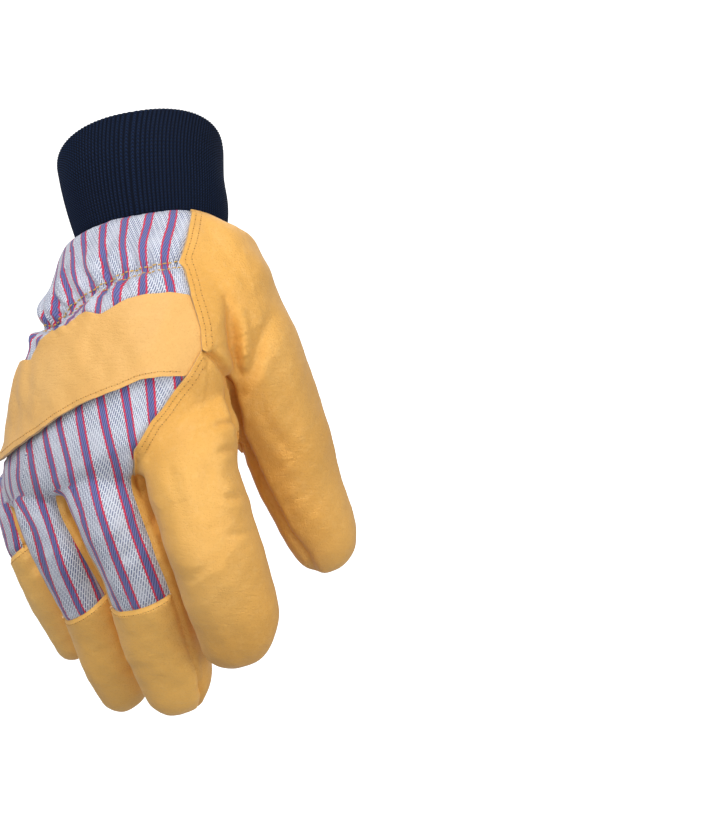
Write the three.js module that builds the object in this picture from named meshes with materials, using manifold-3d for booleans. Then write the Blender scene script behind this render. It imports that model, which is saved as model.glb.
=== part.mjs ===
// Lined leather palm work glove, right hand, in the curled shape that it keeps.
// Millimetres, +Z up, fingers down, back of the hand towards -Y, thumb towards +X.
// The origin is the centre of the cuff's rim.
import * as THREE from 'three';
import Module from 'manifold-3d';

const wasm = await Module();
wasm.setup();

// Named sizes: the whole glove, then walls, the loop and the gap left along every seam
const LENGTH = 266;
const SPAN = 155;
const DEPTH = 110;
const WALL = 2.8;
const CUFF_WALL = 2.4;
const STRAP_WALL = 1.6;
const LOOP_WALL = 1.5;
const LOOP_WIDTH = 15;
const LOOP_EYE = 8.5;
const SEAM = 0.4;

// How far a tube or a cut runs past its end, and how far a cut reaches off the skin
const OVERSHOOT = 12;
const SNUG = 1.5;
const LOOSE = 6;
const PROBE = 1;

// Planes before and behind the glove from which seams are cut, as shares of DEPTH
const FRONT_PLANE = -0.9;
const BACK_PLANE = 0.9;

// Fineness of the facets
const SIDES = 22;
const FINENESS = 0.03;
const TIP_STEPS = 4;
const FINGER_STEPS = 7;
const HAND_STEPS = 9;
const CUFF_STEPS = 8;
const LOOP_STEPS = 10;
const LEAST_STEPS = 3;
const ANGLE_STEP = 15;

// Shape of a cross section and of a fingertip, as shares of the half width
const FULL_TURN = 360;
const ROUNDNESS = 2.3;
const TIP_SHARE = 1.35;
const FLAT = 0.01;
const HEART = 0.02;

// Pull loop: its angle round the cuff in degrees, then shares of the cuff's length and of the loop
const LOOP_ANGLE = 236;
const LOOP_TOP = 0.02;
const LOOP_FOOT = 0.86;
const LOOP_BAR = 0.45;
const LOOP_FULLNESS = 0.6;

// Angles round a finger in degrees: 0 faces the thumb, 90 the back of the hand
const BACK = [30, 150];
const THUMB_SIDE = [-28, 30];
const LITTLE_SIDE = [150, 208];
const TIP_RANGE = [-28, 208];
const FRONT = [208, 332];
const MIDDLE_INNER = [-28, 38];
const MIDDLE_BACK = [38, 150];
const MIDDLE_TIP = [38, 208];
const LITTLE_INNER = [-28, 54];
const LITTLE_BACK = [54, 195];

// Shares of a finger's length at which caps, side walls and front pieces start
const CAP = { middle: 0.52, ring: 0.52, little: 0.34 };
const CROTCH = { middleIn: 0.04, middleOut: 0.2, ringIn: 0.14, ringOut: 0.2, littleIn: 0.12 };
const FRONT_START = { middle: 0.2, ring: 0.16 };

// How many points of the canvas edge the thumb piece shares
const SHARED_EDGE = 9;

// Colours
const TAN = 0xe2ad5c;
const NAVY = 0x0e1830;
const PALE_BLUE = 0xb9bdd2;

// Rows of a tube, as shares: x and half width of SPAN, y and half depth of DEPTH, z of LENGTH.
// Yaw turns the row about Z, roll lifts its thumb side, bend cups it, all three in degrees.
// Columns: x, y, z, half width, half depth, yaw, roll, bend
const CUFF_ROWS = [
  [0.003, 0.000, 0.002, 0.237, 0.355, -4, 10, 0],
  [0.013, -0.055, -0.043, 0.228, 0.323, 2, 9, 0],
  [0.031, -0.100, -0.089, 0.223, 0.264, 8, 9, 0],
  [0.043, -0.136, -0.129, 0.213, 0.209, 12, 10, 0],
  [0.044, -0.164, -0.166, 0.203, 0.195, 14, 10, 0],
];

// Columns: x, y, z, half width, half depth, yaw, roll, bend
const HAND_ROWS = [
  [0.043, -0.136, -0.133, 0.232, 0.236, 12, 10, 0],
  [0.026, -0.182, -0.179, 0.258, 0.256, 17, 11, 8],
  [0.012, -0.236, -0.239, 0.277, 0.260, 22, 12, 18],
  [-0.007, -0.282, -0.297, 0.306, 0.264, 27, 12, 30],
  [-0.044, -0.309, -0.362, 0.341, 0.255, 32, 12, 42],
  [-0.078, -0.300, -0.426, 0.360, 0.236, 36, 12, 52],
  [-0.113, -0.273, -0.488, 0.372, 0.209, 38, 12, 58],
  [-0.127, -0.236, -0.538, 0.361, 0.145, 38, 12, 58],
];

// Columns: x, y, z, half width, half depth, yaw, roll, bend
const INDEX_ROWS = [
  [0.158, -0.400, -0.394, 0.110, 0.118, 12, 12, 0],
  [0.163, -0.441, -0.448, 0.132, 0.164, 10, 12, 0],
  [0.177, -0.455, -0.524, 0.123, 0.167, 10, 13, 0],
  [0.209, -0.427, -0.604, 0.121, 0.162, 10, 14, 0],
  [0.250, -0.364, -0.677, 0.120, 0.153, 10, 14, 0],
  [0.282, -0.255, -0.750, 0.116, 0.136, 10, 14, 0],
  [0.294, -0.109, -0.818, 0.106, 0.118, 10, 14, 0],
];

// Columns: x, y, z, half width, half depth, yaw, roll, bend
const MIDDLE_ROWS = [
  [-0.080, -0.309, -0.438, 0.103, 0.118, 30, 12, 0],
  [-0.065, -0.291, -0.545, 0.115, 0.164, 30, 15, 0],
  [-0.010, -0.236, -0.621, 0.116, 0.159, 28, 16, 0],
  [0.034, -0.127, -0.705, 0.119, 0.150, 26, 16, 0],
  [0.071, 0.018, -0.795, 0.116, 0.136, 24, 16, 0],
  [0.124, 0.236, -0.914, 0.095, 0.109, 22, 16, 0],
];

// Columns: x, y, z, half width, half depth, yaw, roll, bend
const RING_ROWS = [
  [-0.238, -0.127, -0.479, 0.090, 0.109, 48, 12, 0],
  [-0.235, -0.091, -0.561, 0.100, 0.155, 48, 16, 0],
  [-0.196, -0.018, -0.636, 0.103, 0.150, 46, 20, 0],
  [-0.142, 0.109, -0.718, 0.106, 0.141, 42, 22, 0],
  [-0.100, 0.255, -0.803, 0.106, 0.132, 38, 22, 0],
  [-0.043, 0.473, -0.916, 0.094, 0.109, 34, 22, 0],
];

// Columns: x, y, z, half width, half depth, yaw, roll, bend
const LITTLE_ROWS = [
  [-0.330, 0.091, -0.507, 0.077, 0.100, 62, 12, 0],
  [-0.320, 0.145, -0.590, 0.077, 0.133, 62, 20, 0],
  [-0.292, 0.236, -0.664, 0.084, 0.129, 58, 22, 0],
  [-0.259, 0.345, -0.728, 0.087, 0.123, 54, 22, 0],
  [-0.194, 0.545, -0.831, 0.071, 0.095, 48, 22, 0],
];

// Columns: x, y, z, half width, half depth, yaw, roll, bend
const THUMB_ROWS = [
  [0.190, -0.182, -0.116, 0.139, 0.164, 20, -10, 0],
  [0.212, -0.236, -0.179, 0.159, 0.200, 24, -1, 0],
  [0.238, -0.255, -0.241, 0.150, 0.209, 28, 9, 0],
  [0.297, -0.200, -0.316, 0.155, 0.207, 33, 15, 0],
  [0.365, -0.109, -0.397, 0.143, 0.191, 36, 18, 0],
  [0.422, -0.027, -0.473, 0.124, 0.167, 36, 19, 0],
  [0.461, 0.036, -0.543, 0.107, 0.149, 36, 19, 0],
  [0.507, 0.109, -0.607, 0.097, 0.133, 36, 16, 0],
  [0.558, 0.200, -0.673, 0.090, 0.115, 36, 10, 0],
];

// Outlines of seams seen from the front, as shares of SPAN, LENGTH and DEPTH.
// Reach is how deep the cut goes there.
// Columns: x, z, reach
const CANVAS_EDGE = [
  [0.166, -0.074, -0.14],
  [0.166, -0.103, -0.14],
  [0.153, -0.144, -0.16],
  [0.134, -0.179, -0.18],
  [0.147, -0.190, -0.18],
  [0.161, -0.220, -0.20],
  [0.163, -0.234, -0.20],
  [0.188, -0.285, -0.23],
  [0.193, -0.318, -0.25],
  [0.161, -0.352, -0.27],
  [0.119, -0.385, -0.29],
  [0.085, -0.413, -0.29],
  [0.057, -0.431, -0.29],
  [0.038, -0.450, -0.29],
  [0.008, -0.480, -0.31],
  [0.011, -0.531, -0.31],
];

// Columns: x, z, reach
const THUMB_SEAM = [
  [0.215, -0.325, -0.25],
  [0.250, -0.351, -0.25],
  [0.276, -0.389, -0.24],
  [0.290, -0.417, -0.22],
  [0.291, -0.446, -0.16],
  [0.323, -0.495, -0.07],
  [0.375, -0.560, 0.02],
  [0.420, -0.610, 0.07],
  [0.469, -0.653, 0.13],
  [0.506, -0.689, 0.18],
];

// Columns: x, z, reach
const STRAP_OUTLINE = [
  [0.163, -0.231, -0.20],
  [0.109, -0.228, -0.18],
  [0.041, -0.233, -0.16],
  [-0.024, -0.245, -0.13],
  [-0.070, -0.263, -0.11],
  [-0.125, -0.264, -0.09],
  [-0.204, -0.293, 0.00],
  [-0.258, -0.329, 0.07],
  [-0.294, -0.337, 0.09],
  [-0.408, -0.366, 0.15],
  [-0.421, -0.509, 0.18],
  [-0.337, -0.493, 0.15],
  [-0.299, -0.472, 0.07],
  [-0.236, -0.447, -0.02],
  [-0.130, -0.406, -0.11],
  [-0.027, -0.380, -0.18],
  [0.030, -0.364, -0.22],
  [0.085, -0.359, -0.25],
  [0.150, -0.360, -0.27],
  [0.161, -0.352, -0.27],
  [0.193, -0.318, -0.25],
  [0.188, -0.285, -0.23],
];

// Columns: x, z, reach
const PALM_SEAM = [
  [0.011, -0.063, -0.24],
  [0.016, -0.130, -0.24],
  [0.031, -0.197, -0.24],
  [0.045, -0.250, -0.24],
  [0.053, -0.305, -0.24],
  [0.088, -0.360, -0.24],
  [0.145, -0.405, -0.24],
  [0.208, -0.437, -0.24],
  [0.271, -0.457, -0.24],
  [0.280, -0.474, -0.24],
  [0.294, -0.527, -0.24],
  [0.320, -0.572, -0.24],
  [0.368, -0.622, -0.24],
  [0.411, -0.664, -0.24],
  [0.443, -0.730, -0.24],
];

// Columns: x, z, reach
const KNUCKLE_EDGE = [
  [-0.081, -0.556, -0.18],
  [-0.166, -0.585, -0.09],
  [-0.231, -0.597, 0.05],
  [-0.291, -0.612, 0.13],
  [-0.435, -0.620, 0.18],
  [-0.435, -0.485, 0.18],
  [-0.408, -0.366, 0.07],
  [-0.326, -0.271, 0.02],
  [-0.299, -0.176, -0.02],
  [-0.245, -0.074, -0.04],
];

// Columns: x, z, reach
const FAR_RIGHT = [
  [0.799, -0.767, 0.36],
  [0.793, -0.023, -0.15],
  [0.154, -0.023, -0.14],
];

// Columns: x, z, reach
const FAR_RIGHT_PALM = [
  [0.798, -0.797, -0.24],
  [0.798, -0.013, -0.24],
  [0.011, -0.013, -0.24],
];

const radians = THREE.MathUtils.degToRad;

function spread(rows) {
  const table = rows.map(([x, y, z, halfWidth, halfDepth, yaw, roll, bend]) => [
    x * SPAN, y * DEPTH, z * LENGTH, halfWidth * SPAN, halfDepth * DEPTH, yaw, roll, bend,
  ]);
  const stops = [0];
  for (let i = 1; i < table.length; i += 1) {
    const [ax, ay, az] = table[i - 1];
    const [bx, by, bz] = table[i];
    stops.push(stops[i - 1] + Math.hypot(bx - ax, by - ay, bz - az));
  }
  const slopes = table.map((row, i) => {
    const before = Math.max(i - 1, 0);
    const after = Math.min(i + 1, table.length - 1);
    return row.map((_, k) => (table[after][k] - table[before][k]) / (stops[after] - stops[before]));
  });
  return { table, stops, slopes, length: stops.at(-1) };
}

// A row of the tube at a distance along its line, straight on past both ends
function rowAt(line, distance) {
  const { table, stops, slopes } = line;
  const last = table.length - 1;
  if (distance < 0) {
    return table[0].map((value, k) => value + (k < 3 ? slopes[0][k] * distance : 0));
  }
  if (distance > line.length) {
    const past = distance - line.length;
    return table[last].map((value, k) => value + (k < 3 ? slopes[last][k] * past : 0));
  }
  let i = 0;
  while (i < last - 1 && distance > stops[i + 1]) i += 1;
  const step = stops[i + 1] - stops[i];
  const s = (distance - stops[i]) / step;
  const s2 = s * s;
  const s3 = s2 * s;
  return table[i].map((value, k) => (2 * s3 - 3 * s2 + 1) * value
    + (s3 - 2 * s2 + s) * step * slopes[i][k]
    + (3 * s2 - 2 * s3) * table[i + 1][k]
    + (s3 - s2) * step * slopes[i + 1][k]);
}

function frameAt(line, distance) {
  const row = rowAt(line, distance);
  const ahead = new THREE.Vector3(...rowAt(line, distance + PROBE));
  const behind = new THREE.Vector3(...rowAt(line, distance - PROBE));
  const along = ahead.sub(behind).normalize();
  const yaw = radians(row[5]);
  const roll = radians(row[6]);
  const across = new THREE.Vector3(
    Math.cos(yaw) * Math.cos(roll),
    -Math.sin(yaw) * Math.cos(roll),
    Math.sin(roll),
  );
  const outward = new THREE.Vector3().crossVectors(across, along).normalize();
  if (outward.y > 0) outward.negate();
  const [x, y, z, halfWidth, halfDepth, , , bend] = row;
  const centre = new THREE.Vector3(x, y, z);
  return { centre, across, outward, along, halfWidth, halfDepth, bend: radians(bend) };
}

const rounded = (value) => Math.sign(value) * Math.abs(value) ** (2 / ROUNDNESS);

// A point of the tube's skin: 0 degrees on the thumb side, 90 on the back of the hand
function skinPoint(frame, degrees, grow, share) {
  const angle = radians(degrees);
  let across = (frame.halfWidth + grow) * share * rounded(Math.cos(angle));
  let outward = (frame.halfDepth + grow) * share * rounded(Math.sin(angle));
  if (frame.bend > FLAT) {
    const radius = 2 * frame.halfWidth / frame.bend;
    const turn = across / radius;
    across = (radius + outward) * Math.sin(turn);
    outward = (radius + outward) * Math.cos(turn) - radius;
  }
  const point = frame.centre.clone().addScaledVector(frame.across, across);
  return point.addScaledVector(frame.outward, outward);
}

// A closed solid through rings of equal size, each end closed to a point of its own
function loft(rings, first, last) {
  const count = rings[0].length;
  const points = rings.flat();
  const faces = [];
  for (let r = 0; r + 1 < rings.length; r += 1) {
    for (let i = 0; i < count; i += 1) {
      const j = (i + 1) % count;
      const a = r * count + i;
      const b = r * count + j;
      faces.push(a, b, b + count, a, b + count, a + count);
    }
  }
  const head = points.push(first) - 1;
  const foot = points.push(last) - 1;
  const base = (rings.length - 1) * count;
  for (let i = 0; i < count; i += 1) {
    const j = (i + 1) % count;
    faces.push(head, j, i, foot, base + i, base + j);
  }
  return solid(points, faces);
}

function signedVolume(points, faces) {
  let sum = 0;
  for (let f = 0; f < faces.length; f += 3) {
    const [a, b, c] = [points[faces[f]], points[faces[f + 1]], points[faces[f + 2]]];
    sum += a.dot(new THREE.Vector3().crossVectors(b, c));
  }
  return sum;
}

function solid(points, faces) {
  const turned = signedVolume(points, faces) < 0;
  const triVerts = new Uint32Array(faces);
  if (turned) {
    for (let f = 0; f < triVerts.length; f += 3) {
      const kept = triVerts[f + 1];
      triVerts[f + 1] = triVerts[f + 2];
      triVerts[f + 2] = kept;
    }
  }
  const vertProperties = new Float32Array(points.flatMap((point) => [point.x, point.y, point.z]));
  return new wasm.Manifold(new wasm.Mesh({ numProp: 3, vertProperties, triVerts }));
}

const joined = (parts) => parts.reduce((whole, part) => whole.add(part));

const turns = Array.from({ length: SIDES }, (_, i) => (i * FULL_TURN) / SIDES);

const ringAt = (line, distance, grow, share = 1) => {
  const frame = frameAt(line, distance);
  return turns.map((degrees) => skinPoint(frame, degrees, grow, share));
};

const centreAt = (line, distance) => frameAt(line, distance).centre;

// An open-ended tube between two distances
function sleeve(line, from, to, steps, grow) {
  const rings = [];
  for (let i = 0; i <= steps; i += 1) {
    rings.push(ringAt(line, from + ((to - from) * i) / steps, grow));
  }
  return loft(rings, centreAt(line, from), centreAt(line, to));
}

// A tube from its root to a round tip
function finger(line, steps, grow) {
  const start = -grow;
  const end = line.length + grow;
  const dome = line.table.at(-1)[3] * TIP_SHARE;
  const rings = [];
  for (let i = 0; i < steps; i += 1) {
    rings.push(ringAt(line, start + ((end - dome - start) * i) / steps, grow));
  }
  for (let i = 0; i < TIP_STEPS; i += 1) {
    const rise = Math.sin((i / TIP_STEPS) * Math.PI / 2);
    const share = (1 - rise ** ROUNDNESS) ** (1 / ROUNDNESS);
    rings.push(ringAt(line, end - dome + dome * rise, grow, share));
  }
  return loft(rings, centreAt(line, start), centreAt(line, end));
}

// A slice of a tube between two angles and two shares of its length, cut wide by a margin
function slice(line, fromDegrees, toDegrees, fromShare, toShare, reach, margin) {
  const widen = THREE.MathUtils.radToDeg(margin / line.table.at(-1)[4]);
  const first = fromDegrees - widen;
  const span = toDegrees + widen - first;
  const from = fromShare * line.length - margin;
  const to = toShare >= 1 ? line.length + OVERSHOOT : toShare * line.length + margin;
  const stepsAlong = Math.max(LEAST_STEPS, Math.round((to - from) / OVERSHOOT));
  const stepsRound = Math.max(LEAST_STEPS, Math.round(span / ANGLE_STEP));
  const rings = [];
  for (let i = 0; i <= stepsAlong; i += 1) {
    const frame = frameAt(line, from + ((to - from) * i) / stepsAlong);
    const ring = [frame.centre];
    for (let k = 0; k <= stepsRound; k += 1) {
      ring.push(skinPoint(frame, first + (span * k) / stepsRound, reach + margin, 1));
    }
    rings.push(ring);
  }
  const heart = (ring) => ring[0].clone().lerp(ring[Math.round(ring.length / 2)], HEART);
  return loft(rings, heart(rings[0]), heart(rings.at(-1)));
}

// Outline points moved outwards by a margin
function widened(outline, margin) {
  return outline.map(([x, z, reach], i) => {
    const [px, pz] = outline.at(i - 1);
    const [nx, nz] = outline[(i + 1) % outline.length];
    const before = new THREE.Vector2(z - pz, px - x).normalize();
    const after = new THREE.Vector2(nz - z, x - nx).normalize();
    const away = before.add(after).normalize().multiplyScalar(margin);
    return [x + away.x, z + away.y, reach];
  });
}

// A solid between a plane and the reach of each point of an outline
function prism(outline, faces, plane, margin) {
  const near = outline.map(([x, z]) => new THREE.Vector3(x, plane * DEPTH, z));
  const away = -Math.sign(plane) * margin;
  const far = outline.map(([x, z, reach]) => new THREE.Vector3(x, reach + away, z));
  const count = outline.length;
  const all = [];
  for (const [a, b, c] of faces) all.push(a, b, c, c + count, b + count, a + count);
  for (let i = 0; i < count; i += 1) {
    const j = (i + 1) % count;
    all.push(j, i, i + count, j, i + count, j + count);
  }
  return solid([...near, ...far], all);
}

// A block with the outline of a front view, from the plane before the hand to its own reach
// Columns: x, z, reach, as shares of SPAN, LENGTH and DEPTH
function block(rows, plane, margin) {
  const sized = rows.map(([x, z, reach]) => [x * SPAN, z * LENGTH, reach * DEPTH]);
  const flat = (given) => given.map(([x, z]) => new THREE.Vector2(x, z));
  const turned = THREE.ShapeUtils.area(flat(sized)) < 0 ? sized.reverse() : sized;
  const faces = THREE.ShapeUtils.triangulateShape(flat(turned), []);
  const deeper = prism(turned, faces, plane, margin);
  return deeper.add(prism(widened(turned, margin), faces, plane, margin));
}

const biggest = (whole) => whole.decompose()
  .reduce((best, part) => (part.volume() > best.volume() ? part : best));

const lines = {
  cuff: spread(CUFF_ROWS),
  hand: spread(HAND_ROWS),
  index: spread(INDEX_ROWS),
  middle: spread(MIDDLE_ROWS),
  ring: spread(RING_ROWS),
  little: spread(LITTLE_ROWS),
  thumb: spread(THUMB_ROWS),
};

// The whole glove without its cuff, as one full form grown or shrunk
function form(grow) {
  const fingers = ['index', 'middle', 'ring', 'little', 'thumb'];
  const tubes = fingers.map((name) => finger(lines[name], FINGER_STEPS, grow));
  const top = grow < 0 ? -OVERSHOOT : 0;
  const palm = sleeve(lines.hand, top, lines.hand.length + grow, HAND_STEPS, grow);
  return joined([palm, ...tubes]);
}

const outer = form(0);
const inner = form(-WALL);

// Knit cuff, its foot inside the mouth of the hand
const cuffOuter = sleeve(lines.cuff, 0, lines.cuff.length, CUFF_STEPS, 0);
const cuffEnd = lines.cuff.length + OVERSHOOT;
const cuffInner = sleeve(lines.cuff, -OVERSHOOT, cuffEnd, CUFF_STEPS, -CUFF_WALL);
const cuffClear = sleeve(lines.cuff, 0, lines.cuff.length + SEAM, CUFF_STEPS, SEAM);

// Pull loop: a strip folded over at its top, along the palm side of the cuff
function strip(from, to, under, over, width) {
  const rings = [];
  for (let i = 0; i <= LOOP_STEPS; i += 1) {
    const frame = frameAt(lines.cuff, from + ((to - from) * i) / LOOP_STEPS);
    const foot = skinPoint(frame, LOOP_ANGLE, 0, 1);
    const away = skinPoint(frame, LOOP_ANGLE, 1, 1).sub(foot).normalize();
    const along = new THREE.Vector3().crossVectors(away, frame.along).normalize().multiplyScalar(width / 2);
    const share = i / LOOP_STEPS;
    const low = foot.clone().addScaledVector(away, under(share));
    const high = foot.clone().addScaledVector(away, over(share));
    rings.push([
      low.clone().sub(along),
      low.clone().add(along),
      high.clone().add(along),
      high.clone().sub(along),
    ]);
  }
  const mid = (ring) => ring[0].clone().lerp(ring[2], 1 / 2);
  return loft(rings, mid(rings[0]), mid(rings.at(-1)));
}

const loopTop = LOOP_TOP * lines.cuff.length;
const loopFoot = LOOP_FOOT * lines.cuff.length;
const loopBar = LOOP_BAR * (loopFoot - loopTop) + loopTop;
const swell = (share) => LOOP_EYE * Math.sin(Math.PI * share) ** LOOP_FULLNESS;
const bulge = (share) => swell(Math.min(1, share / LOOP_BAR));
const under = () => SEAM;
const over = (share) => SEAM + 2 * LOOP_WALL + bulge(share);
const eyeUnder = () => SEAM + LOOP_WALL;
const eyeOver = (share) => SEAM + LOOP_WALL + swell(share);
const clearUnder = () => -SEAM;
const clearOver = (share) => over(share) + SEAM;
const loopOuter = strip(loopTop, loopFoot, under, over, LOOP_WIDTH);
const loopHole = strip(loopTop + LOOP_WALL, loopBar, eyeUnder, eyeOver, LOOP_WIDTH * 2);
const loopClear = strip(loopTop - SEAM, loopFoot + SEAM, clearUnder, clearOver, LOOP_WIDTH + 2 * SEAM);

const shell = outer.subtract(inner).subtract(cuffClear).subtract(loopClear);

const canvasOutline = [...CANVAS_EDGE, ...KNUCKLE_EDGE];
const thumbOutline = [...CANVAS_EDGE.slice(0, SHARED_EDGE), ...THUMB_SEAM, ...FAR_RIGHT];
const thumbPalmOutline = [...PALM_SEAM, ...FAR_RIGHT_PALM];

// The part of a finger between two angles, from one share of its length to another
function side(name, [from, to], start, end, reach, margin) {
  return slice(lines[name], from, to, start, end, reach, margin);
}

const cap = (name, range, m) => side(name, range, CAP[name], 1, SNUG, m);
const wallOf = (name, range, start, m) => side(name, range, start, CAP[name], SNUG, m);

// Every piece of the shell is one region of it, cut clear of those before it
const regions = {
  middle_tip: (m) => cap('middle', MIDDLE_TIP, m),
  ring_tip: (m) => cap('ring', TIP_RANGE, m),
  little_tip: (m) => cap('little', TIP_RANGE, m),
  middle_front: (m) => side('middle', FRONT, FRONT_START.middle, 1, LOOSE, m),
  ring_front: (m) => side('ring', FRONT, FRONT_START.ring, 1, LOOSE, m),
  fourchette_middle: (m) => side('middle', MIDDLE_INNER, CROTCH.middleIn, 1, SNUG, m),
  fourchette_ring: (m) => wallOf('middle', LITTLE_SIDE, CROTCH.middleOut, m)
    .add(wallOf('ring', THUMB_SIDE, CROTCH.ringIn, m)),
  fourchette_little: (m) => wallOf('ring', LITTLE_SIDE, CROTCH.ringOut, m)
    .add(wallOf('little', LITTLE_INNER, CROTCH.littleIn, m)),
  thumb_back: (m) => block(thumbOutline, FRONT_PLANE, m),
  thumb_front: (m) => block(thumbPalmOutline, BACK_PLANE, m),
  hand_back: (m) => joined([
    block(canvasOutline, FRONT_PLANE, m),
    wallOf('middle', MIDDLE_BACK, 0, m),
    wallOf('ring', BACK, 0, m),
    wallOf('little', LITTLE_BACK, 0, m),
  ]),
  palm: () => outer,
};

const pieces = {};
let rest = shell;
for (const [name, region] of Object.entries(regions)) {
  pieces[name] = biggest(rest.intersect(region(0)));
  rest = rest.subtract(region(SEAM));
}

// Knuckle strap: a band lying on the canvas
const overSkin = form(STRAP_WALL + SEAM).subtract(form(SEAM));
pieces.knuckle_strap = biggest(overSkin.intersect(block(STRAP_OUTLINE, FRONT_PLANE, 0)));
pieces.knit_cuff = cuffOuter.subtract(cuffInner);
pieces.pull_loop = biggest(loopOuter.subtract(loopHole).subtract(cuffClear));

const leather = { color: TAN, roughness: 0.6, metalness: 0 };
const looks = {
  knit_cuff: { color: NAVY, roughness: 0.95, metalness: 0 },
  hand_back: { color: PALE_BLUE, roughness: 0.9, metalness: 0 },
};

const glove = new THREE.Group();
for (const [name, piece] of Object.entries(pieces)) {
  const { vertProperties, triVerts } = piece.asOriginal().simplify(FINENESS).getMesh();
  const geometry = new THREE.BufferGeometry();
  const points = new Float32Array(vertProperties);
  geometry.setAttribute('position', new THREE.BufferAttribute(points, 3));
  geometry.setIndex(new THREE.BufferAttribute(new Uint32Array(triVerts), 1));
  const mesh = new THREE.Mesh(geometry, new THREE.MeshStandardMaterial(looks[name] ?? leather));
  mesh.name = name;
  glove.add(mesh);
}

export default glove;
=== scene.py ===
import math

import bpy
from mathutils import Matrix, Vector
import numpy as np


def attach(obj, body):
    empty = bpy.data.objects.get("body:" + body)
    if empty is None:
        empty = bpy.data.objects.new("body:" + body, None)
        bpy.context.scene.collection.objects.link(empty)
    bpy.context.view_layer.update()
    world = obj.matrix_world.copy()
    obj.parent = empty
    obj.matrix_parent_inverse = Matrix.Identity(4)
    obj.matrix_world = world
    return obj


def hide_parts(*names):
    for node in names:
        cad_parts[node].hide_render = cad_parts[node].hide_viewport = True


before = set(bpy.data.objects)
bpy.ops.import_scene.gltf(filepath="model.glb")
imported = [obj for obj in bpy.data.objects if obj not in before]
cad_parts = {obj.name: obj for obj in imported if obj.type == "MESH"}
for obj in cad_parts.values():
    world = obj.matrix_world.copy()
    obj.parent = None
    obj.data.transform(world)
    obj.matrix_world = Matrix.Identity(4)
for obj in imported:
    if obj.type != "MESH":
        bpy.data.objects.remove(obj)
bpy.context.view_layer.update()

MM = 0.001
LENGTH = 266 * MM
SPAN = 155 * MM
DEPTH = 110 * MM
CELL = 0.44 * MM
# The photo's height and the camera's place in cells, and its distance in metres
VIEW_HEIGHT = 817
VIEW_ACROSS = 220.5
VIEW_DOWN = 248.5
VIEW_DISTANCE = 1.2
SENSOR = 36
ROUNDNESS = 2.3
TIP_SHARE = 1.35
GROW = 0.5 * MM
CREASE = 0.6 * MM
VOXEL = 1.15 * MM
WALL = 1.6 * MM
rng = np.random.default_rng(7)

# Rows of a tube: x, y, z, half width, half depth, yaw, roll, bend, as shares of the sizes above
CUFF_ROWS = (
    (0.003, 0.000, 0.002, 0.237, 0.355, -4, 10, 0),
    (0.013, -0.055, -0.043, 0.228, 0.323, 2, 9, 0),
    (0.031, -0.100, -0.089, 0.223, 0.264, 8, 9, 0),
    (0.043, -0.136, -0.129, 0.213, 0.209, 12, 10, 0),
    (0.044, -0.164, -0.166, 0.203, 0.195, 14, 10, 0),
)
HAND_ROWS = (
    (0.043, -0.136, -0.133, 0.232, 0.236, 12, 10, 0),
    (0.026, -0.182, -0.179, 0.258, 0.256, 17, 11, 8),
    (0.012, -0.236, -0.239, 0.277, 0.260, 22, 12, 18),
    (-0.007, -0.282, -0.297, 0.306, 0.264, 27, 12, 30),
    (-0.044, -0.309, -0.362, 0.341, 0.255, 32, 12, 42),
    (-0.078, -0.300, -0.426, 0.360, 0.236, 36, 12, 52),
    (-0.113, -0.273, -0.488, 0.372, 0.209, 38, 12, 58),
    (-0.127, -0.236, -0.538, 0.361, 0.145, 38, 12, 58),
)
INDEX_ROWS = (
    (0.158, -0.400, -0.394, 0.110, 0.118, 12, 12, 0),
    (0.163, -0.441, -0.448, 0.132, 0.164, 10, 12, 0),
    (0.177, -0.455, -0.524, 0.123, 0.167, 10, 13, 0),
    (0.209, -0.427, -0.604, 0.121, 0.162, 10, 14, 0),
    (0.250, -0.364, -0.677, 0.120, 0.153, 10, 14, 0),
    (0.282, -0.255, -0.750, 0.116, 0.136, 10, 14, 0),
    (0.294, -0.109, -0.818, 0.106, 0.118, 10, 14, 0),
)
MIDDLE_ROWS = (
    (-0.080, -0.309, -0.438, 0.103, 0.118, 30, 12, 0),
    (-0.065, -0.291, -0.545, 0.115, 0.164, 30, 15, 0),
    (-0.010, -0.236, -0.621, 0.116, 0.159, 28, 16, 0),
    (0.034, -0.127, -0.705, 0.119, 0.150, 26, 16, 0),
    (0.071, 0.018, -0.795, 0.116, 0.136, 24, 16, 0),
    (0.124, 0.236, -0.914, 0.095, 0.109, 22, 16, 0),
)
RING_ROWS = (
    (-0.238, -0.127, -0.479, 0.090, 0.109, 48, 12, 0),
    (-0.235, -0.091, -0.561, 0.100, 0.155, 48, 16, 0),
    (-0.196, -0.018, -0.636, 0.103, 0.150, 46, 20, 0),
    (-0.142, 0.109, -0.718, 0.106, 0.141, 42, 22, 0),
    (-0.100, 0.255, -0.803, 0.106, 0.132, 38, 22, 0),
    (-0.043, 0.473, -0.916, 0.094, 0.109, 34, 22, 0),
)
LITTLE_ROWS = (
    (-0.330, 0.091, -0.507, 0.077, 0.100, 62, 12, 0),
    (-0.320, 0.145, -0.590, 0.077, 0.133, 62, 20, 0),
    (-0.292, 0.236, -0.664, 0.084, 0.129, 58, 22, 0),
    (-0.259, 0.345, -0.728, 0.087, 0.123, 54, 22, 0),
    (-0.194, 0.545, -0.831, 0.071, 0.095, 48, 22, 0),
)
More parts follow.
